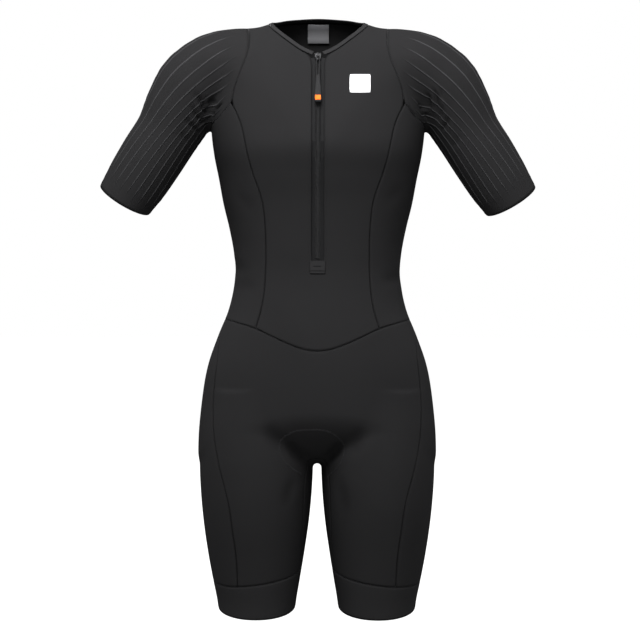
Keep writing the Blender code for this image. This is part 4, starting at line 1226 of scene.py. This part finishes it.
def rounded_block(low, high, bevel, segments=3, waist=None):
    """A block between two corners, in millimetres, with rounded edges. The waist scales x at each height."""
    mesh = bmesh.new()
    low, high = Vector(low), Vector(high)
    size = Matrix.Diagonal((*(high - low), 1))
    bmesh.ops.create_cube(mesh, size=1, matrix=Matrix.Translation((low + high) / 2) @ size)
    if waist:
        upright = [edge for edge in mesh.edges if abs(edge.verts[0].co.z - edge.verts[1].co.z) > 0.5]
        bmesh.ops.subdivide_edges(mesh, edges=upright, cuts=7, use_grid_fill=True)
        for vert in mesh.verts:
            vert.co.x *= waist((vert.co.z - low.z) / (high.z - low.z))
    sharp = [edge for edge in mesh.edges if edge.calc_face_angle(0) > 0.6]
    bmesh.ops.bevel(
        mesh, geom=sharp, offset=bevel, affect="EDGES", segments=segments, profile=0.5, material=-1,
        clamp_overlap=True,
    )
    bmesh.ops.scale(mesh, verts=mesh.verts, vec=(MM, MM, MM))
    return mesh


def placed(name, mesh, matrix, finish, body):
    """Bakes a place into a small piece's mesh and puts it on its body."""
    bmesh.ops.transform(mesh, matrix=matrix, verts=mesh.verts)
    thing = object_of(name, mesh)
    thing.data.set_sharp_from_angle(angle=math.radians(50))
    finish.wear(thing)
    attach(thing, body)
    return thing


def moved(points, matrix):
    """Points in millimetres in a frame, as points of the suit in millimetres."""
    return np.array([matrix @ (Vector(point) * MM) for point in points]) / MM


at_zip = zip_frame()
wide, long = SLIDER["width"] / 2, SLIDER["length"] / 2
slider_shape = rounded_block(
    (-wide, -SLIDER["over"], -long), (wide, -SLIDER["over"] + 1.3, long), 0.5,
    waist=slider_waist,
)
slider = placed("zip_slider_top", slider_shape, at_zip, slider_paint, SUIT_BODY)
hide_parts("zip_slider")
base_shape = rounded_block(
    (-wide, SLIDER["under"] - 1.1, -long), (wide, SLIDER["under"], long), 0.4,
    waist=slider_waist,
)
placed("zip_slider_base", base_shape, at_zip, slider_paint, SUIT_BODY)
post_shape = rounded_block((-1.1, -SLIDER["over"] + 0.8, 1.5), (1.1, SLIDER["under"] - 0.5, long - 0.8), 0.3)
placed("zip_slider_post", post_shape, at_zip, slider_paint, SUIT_BODY)
turn = np.linspace(0, np.pi, 15)
arch = np.stack([
    np.zeros(15),
    -SLIDER["over"] + 0.5 - (BRIDGE["top"] - SLIDER["over"]) * np.sin(turn) ** 0.6,
    BRIDGE["half_length"] * np.cos(turn),
], axis=1)
thread_piece(
    "zip_slider_bridge", [moved(arch, at_zip)], BRIDGE["radius"], slider_paint, sides=3
)
flanges = []
for side in (1, -1):
    rail = []
    for up in np.linspace(0.06, 0.94, 9):
        across = side * (wide * slider_width(up) - FLANGE["in_from_edge"])
        rail.append((across, -0.1, -long + up * 2 * long))
    flanges.append(moved(rail, at_zip))
thread_piece(
    "zip_slider_flanges", flanges, FLANGE["radius"], slider_paint, sides=2
)
print("slider pieces: 5")

# %% [markdown]
# The pull is a loop of thin cord through the bridge. Both strands run down into a moulded rubber sleeve that
# widens, and ends in a rounded tab with a small square inset of orange rubber. All of it turns with the
# pull's own body, about the pin in the bridge.

# %% Pull
PULL_BODY = "zip_pull_body"
CORD = {"radius": 0.72, "half_gap": 1.7, "into_sleeve": -37}
SLEEVE = {"top": -33.5, "bottom": -67, "half_width": 5.0, "half_thick": 1.1}
TAB = {"top": -65.5, "bottom": -78.2, "half_width": 4.7, "half_thick": 1.3}
INSET = {"half": 3.9, "middle": -71.6, "proud": 0.35}

pin = Vector(frame["joints"][0]["pos_m"])
low, high = (Vector(corner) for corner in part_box("zip_pull_tag"))
to_tag = (low + high) / 2 - pin
lean = math.atan2(-to_tag.y, -to_tag.z)
at_pin = Matrix.Translation(pin) @ Matrix.Rotation(-lean, 4, "X")
loop_top = [(CORD["half_gap"] * math.sin(a), 0, 1.2 * math.cos(a) - 1.2) for a in np.linspace(-1.5, 1.5, 11)]
strand_zs = np.linspace(-4, CORD["into_sleeve"], 8)
bulge = 0.5 * np.sin(np.linspace(0, math.pi, 8))
left = [(-CORD["half_gap"] - bulge[k], 0.12 * (k % 2), z) for k, z in enumerate(strand_zs)]
right = [(-x, -y, z) for x, y, z in left]
loop = moved(left[::-1] + loop_top + right, at_pin)
thread_piece("zip_pull_cord", [loop], CORD["radius"], pull_cord, PULL_BODY, 2)
sleeve_shape = rounded_block(
    (-SLEEVE["half_width"], -SLEEVE["half_thick"], SLEEVE["bottom"]),
    (SLEEVE["half_width"], SLEEVE["half_thick"], SLEEVE["top"]), 0.7,
    waist=lambda up: 0.92 - 0.44 * up,
)
sleeve = placed("zip_pull_sleeve", sleeve_shape, at_pin, pull_rubber, PULL_BODY)
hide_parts("zip_pull")
tab_shape = rounded_block(
    (-TAB["half_width"], -TAB["half_thick"], TAB["bottom"]),
    (TAB["half_width"], TAB["half_thick"], TAB["top"]), 0.8,
    waist=lambda up: 0.72 + 0.28 * math.sin(math.pi * min(0.5, 1.1 * up + 0.08)),
)
placed("zip_pull_tab", tab_shape, at_pin, pull_rubber, PULL_BODY)
face = -TAB["half_thick"]
inset_shape = rounded_block(
    (-INSET["half"], face - INSET["proud"], INSET["middle"] - INSET["half"]),
    (INSET["half"], face + 0.4, INSET["middle"] + INSET["half"]), 0.3,
)
top_faces = [f for f in inset_shape.faces if f.normal.y < -0.9 and f.calc_area() > 20 * MM**2]
bmesh.ops.inset_region(inset_shape, faces=top_faces, thickness=0.9 * MM, depth=-0.3 * MM)
inset = placed("zip_pull_inset", inset_shape, at_pin, tag_rubber, PULL_BODY)
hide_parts("zip_pull_tag")
print("pull leans", round(math.degrees(lean), 1), "degrees")
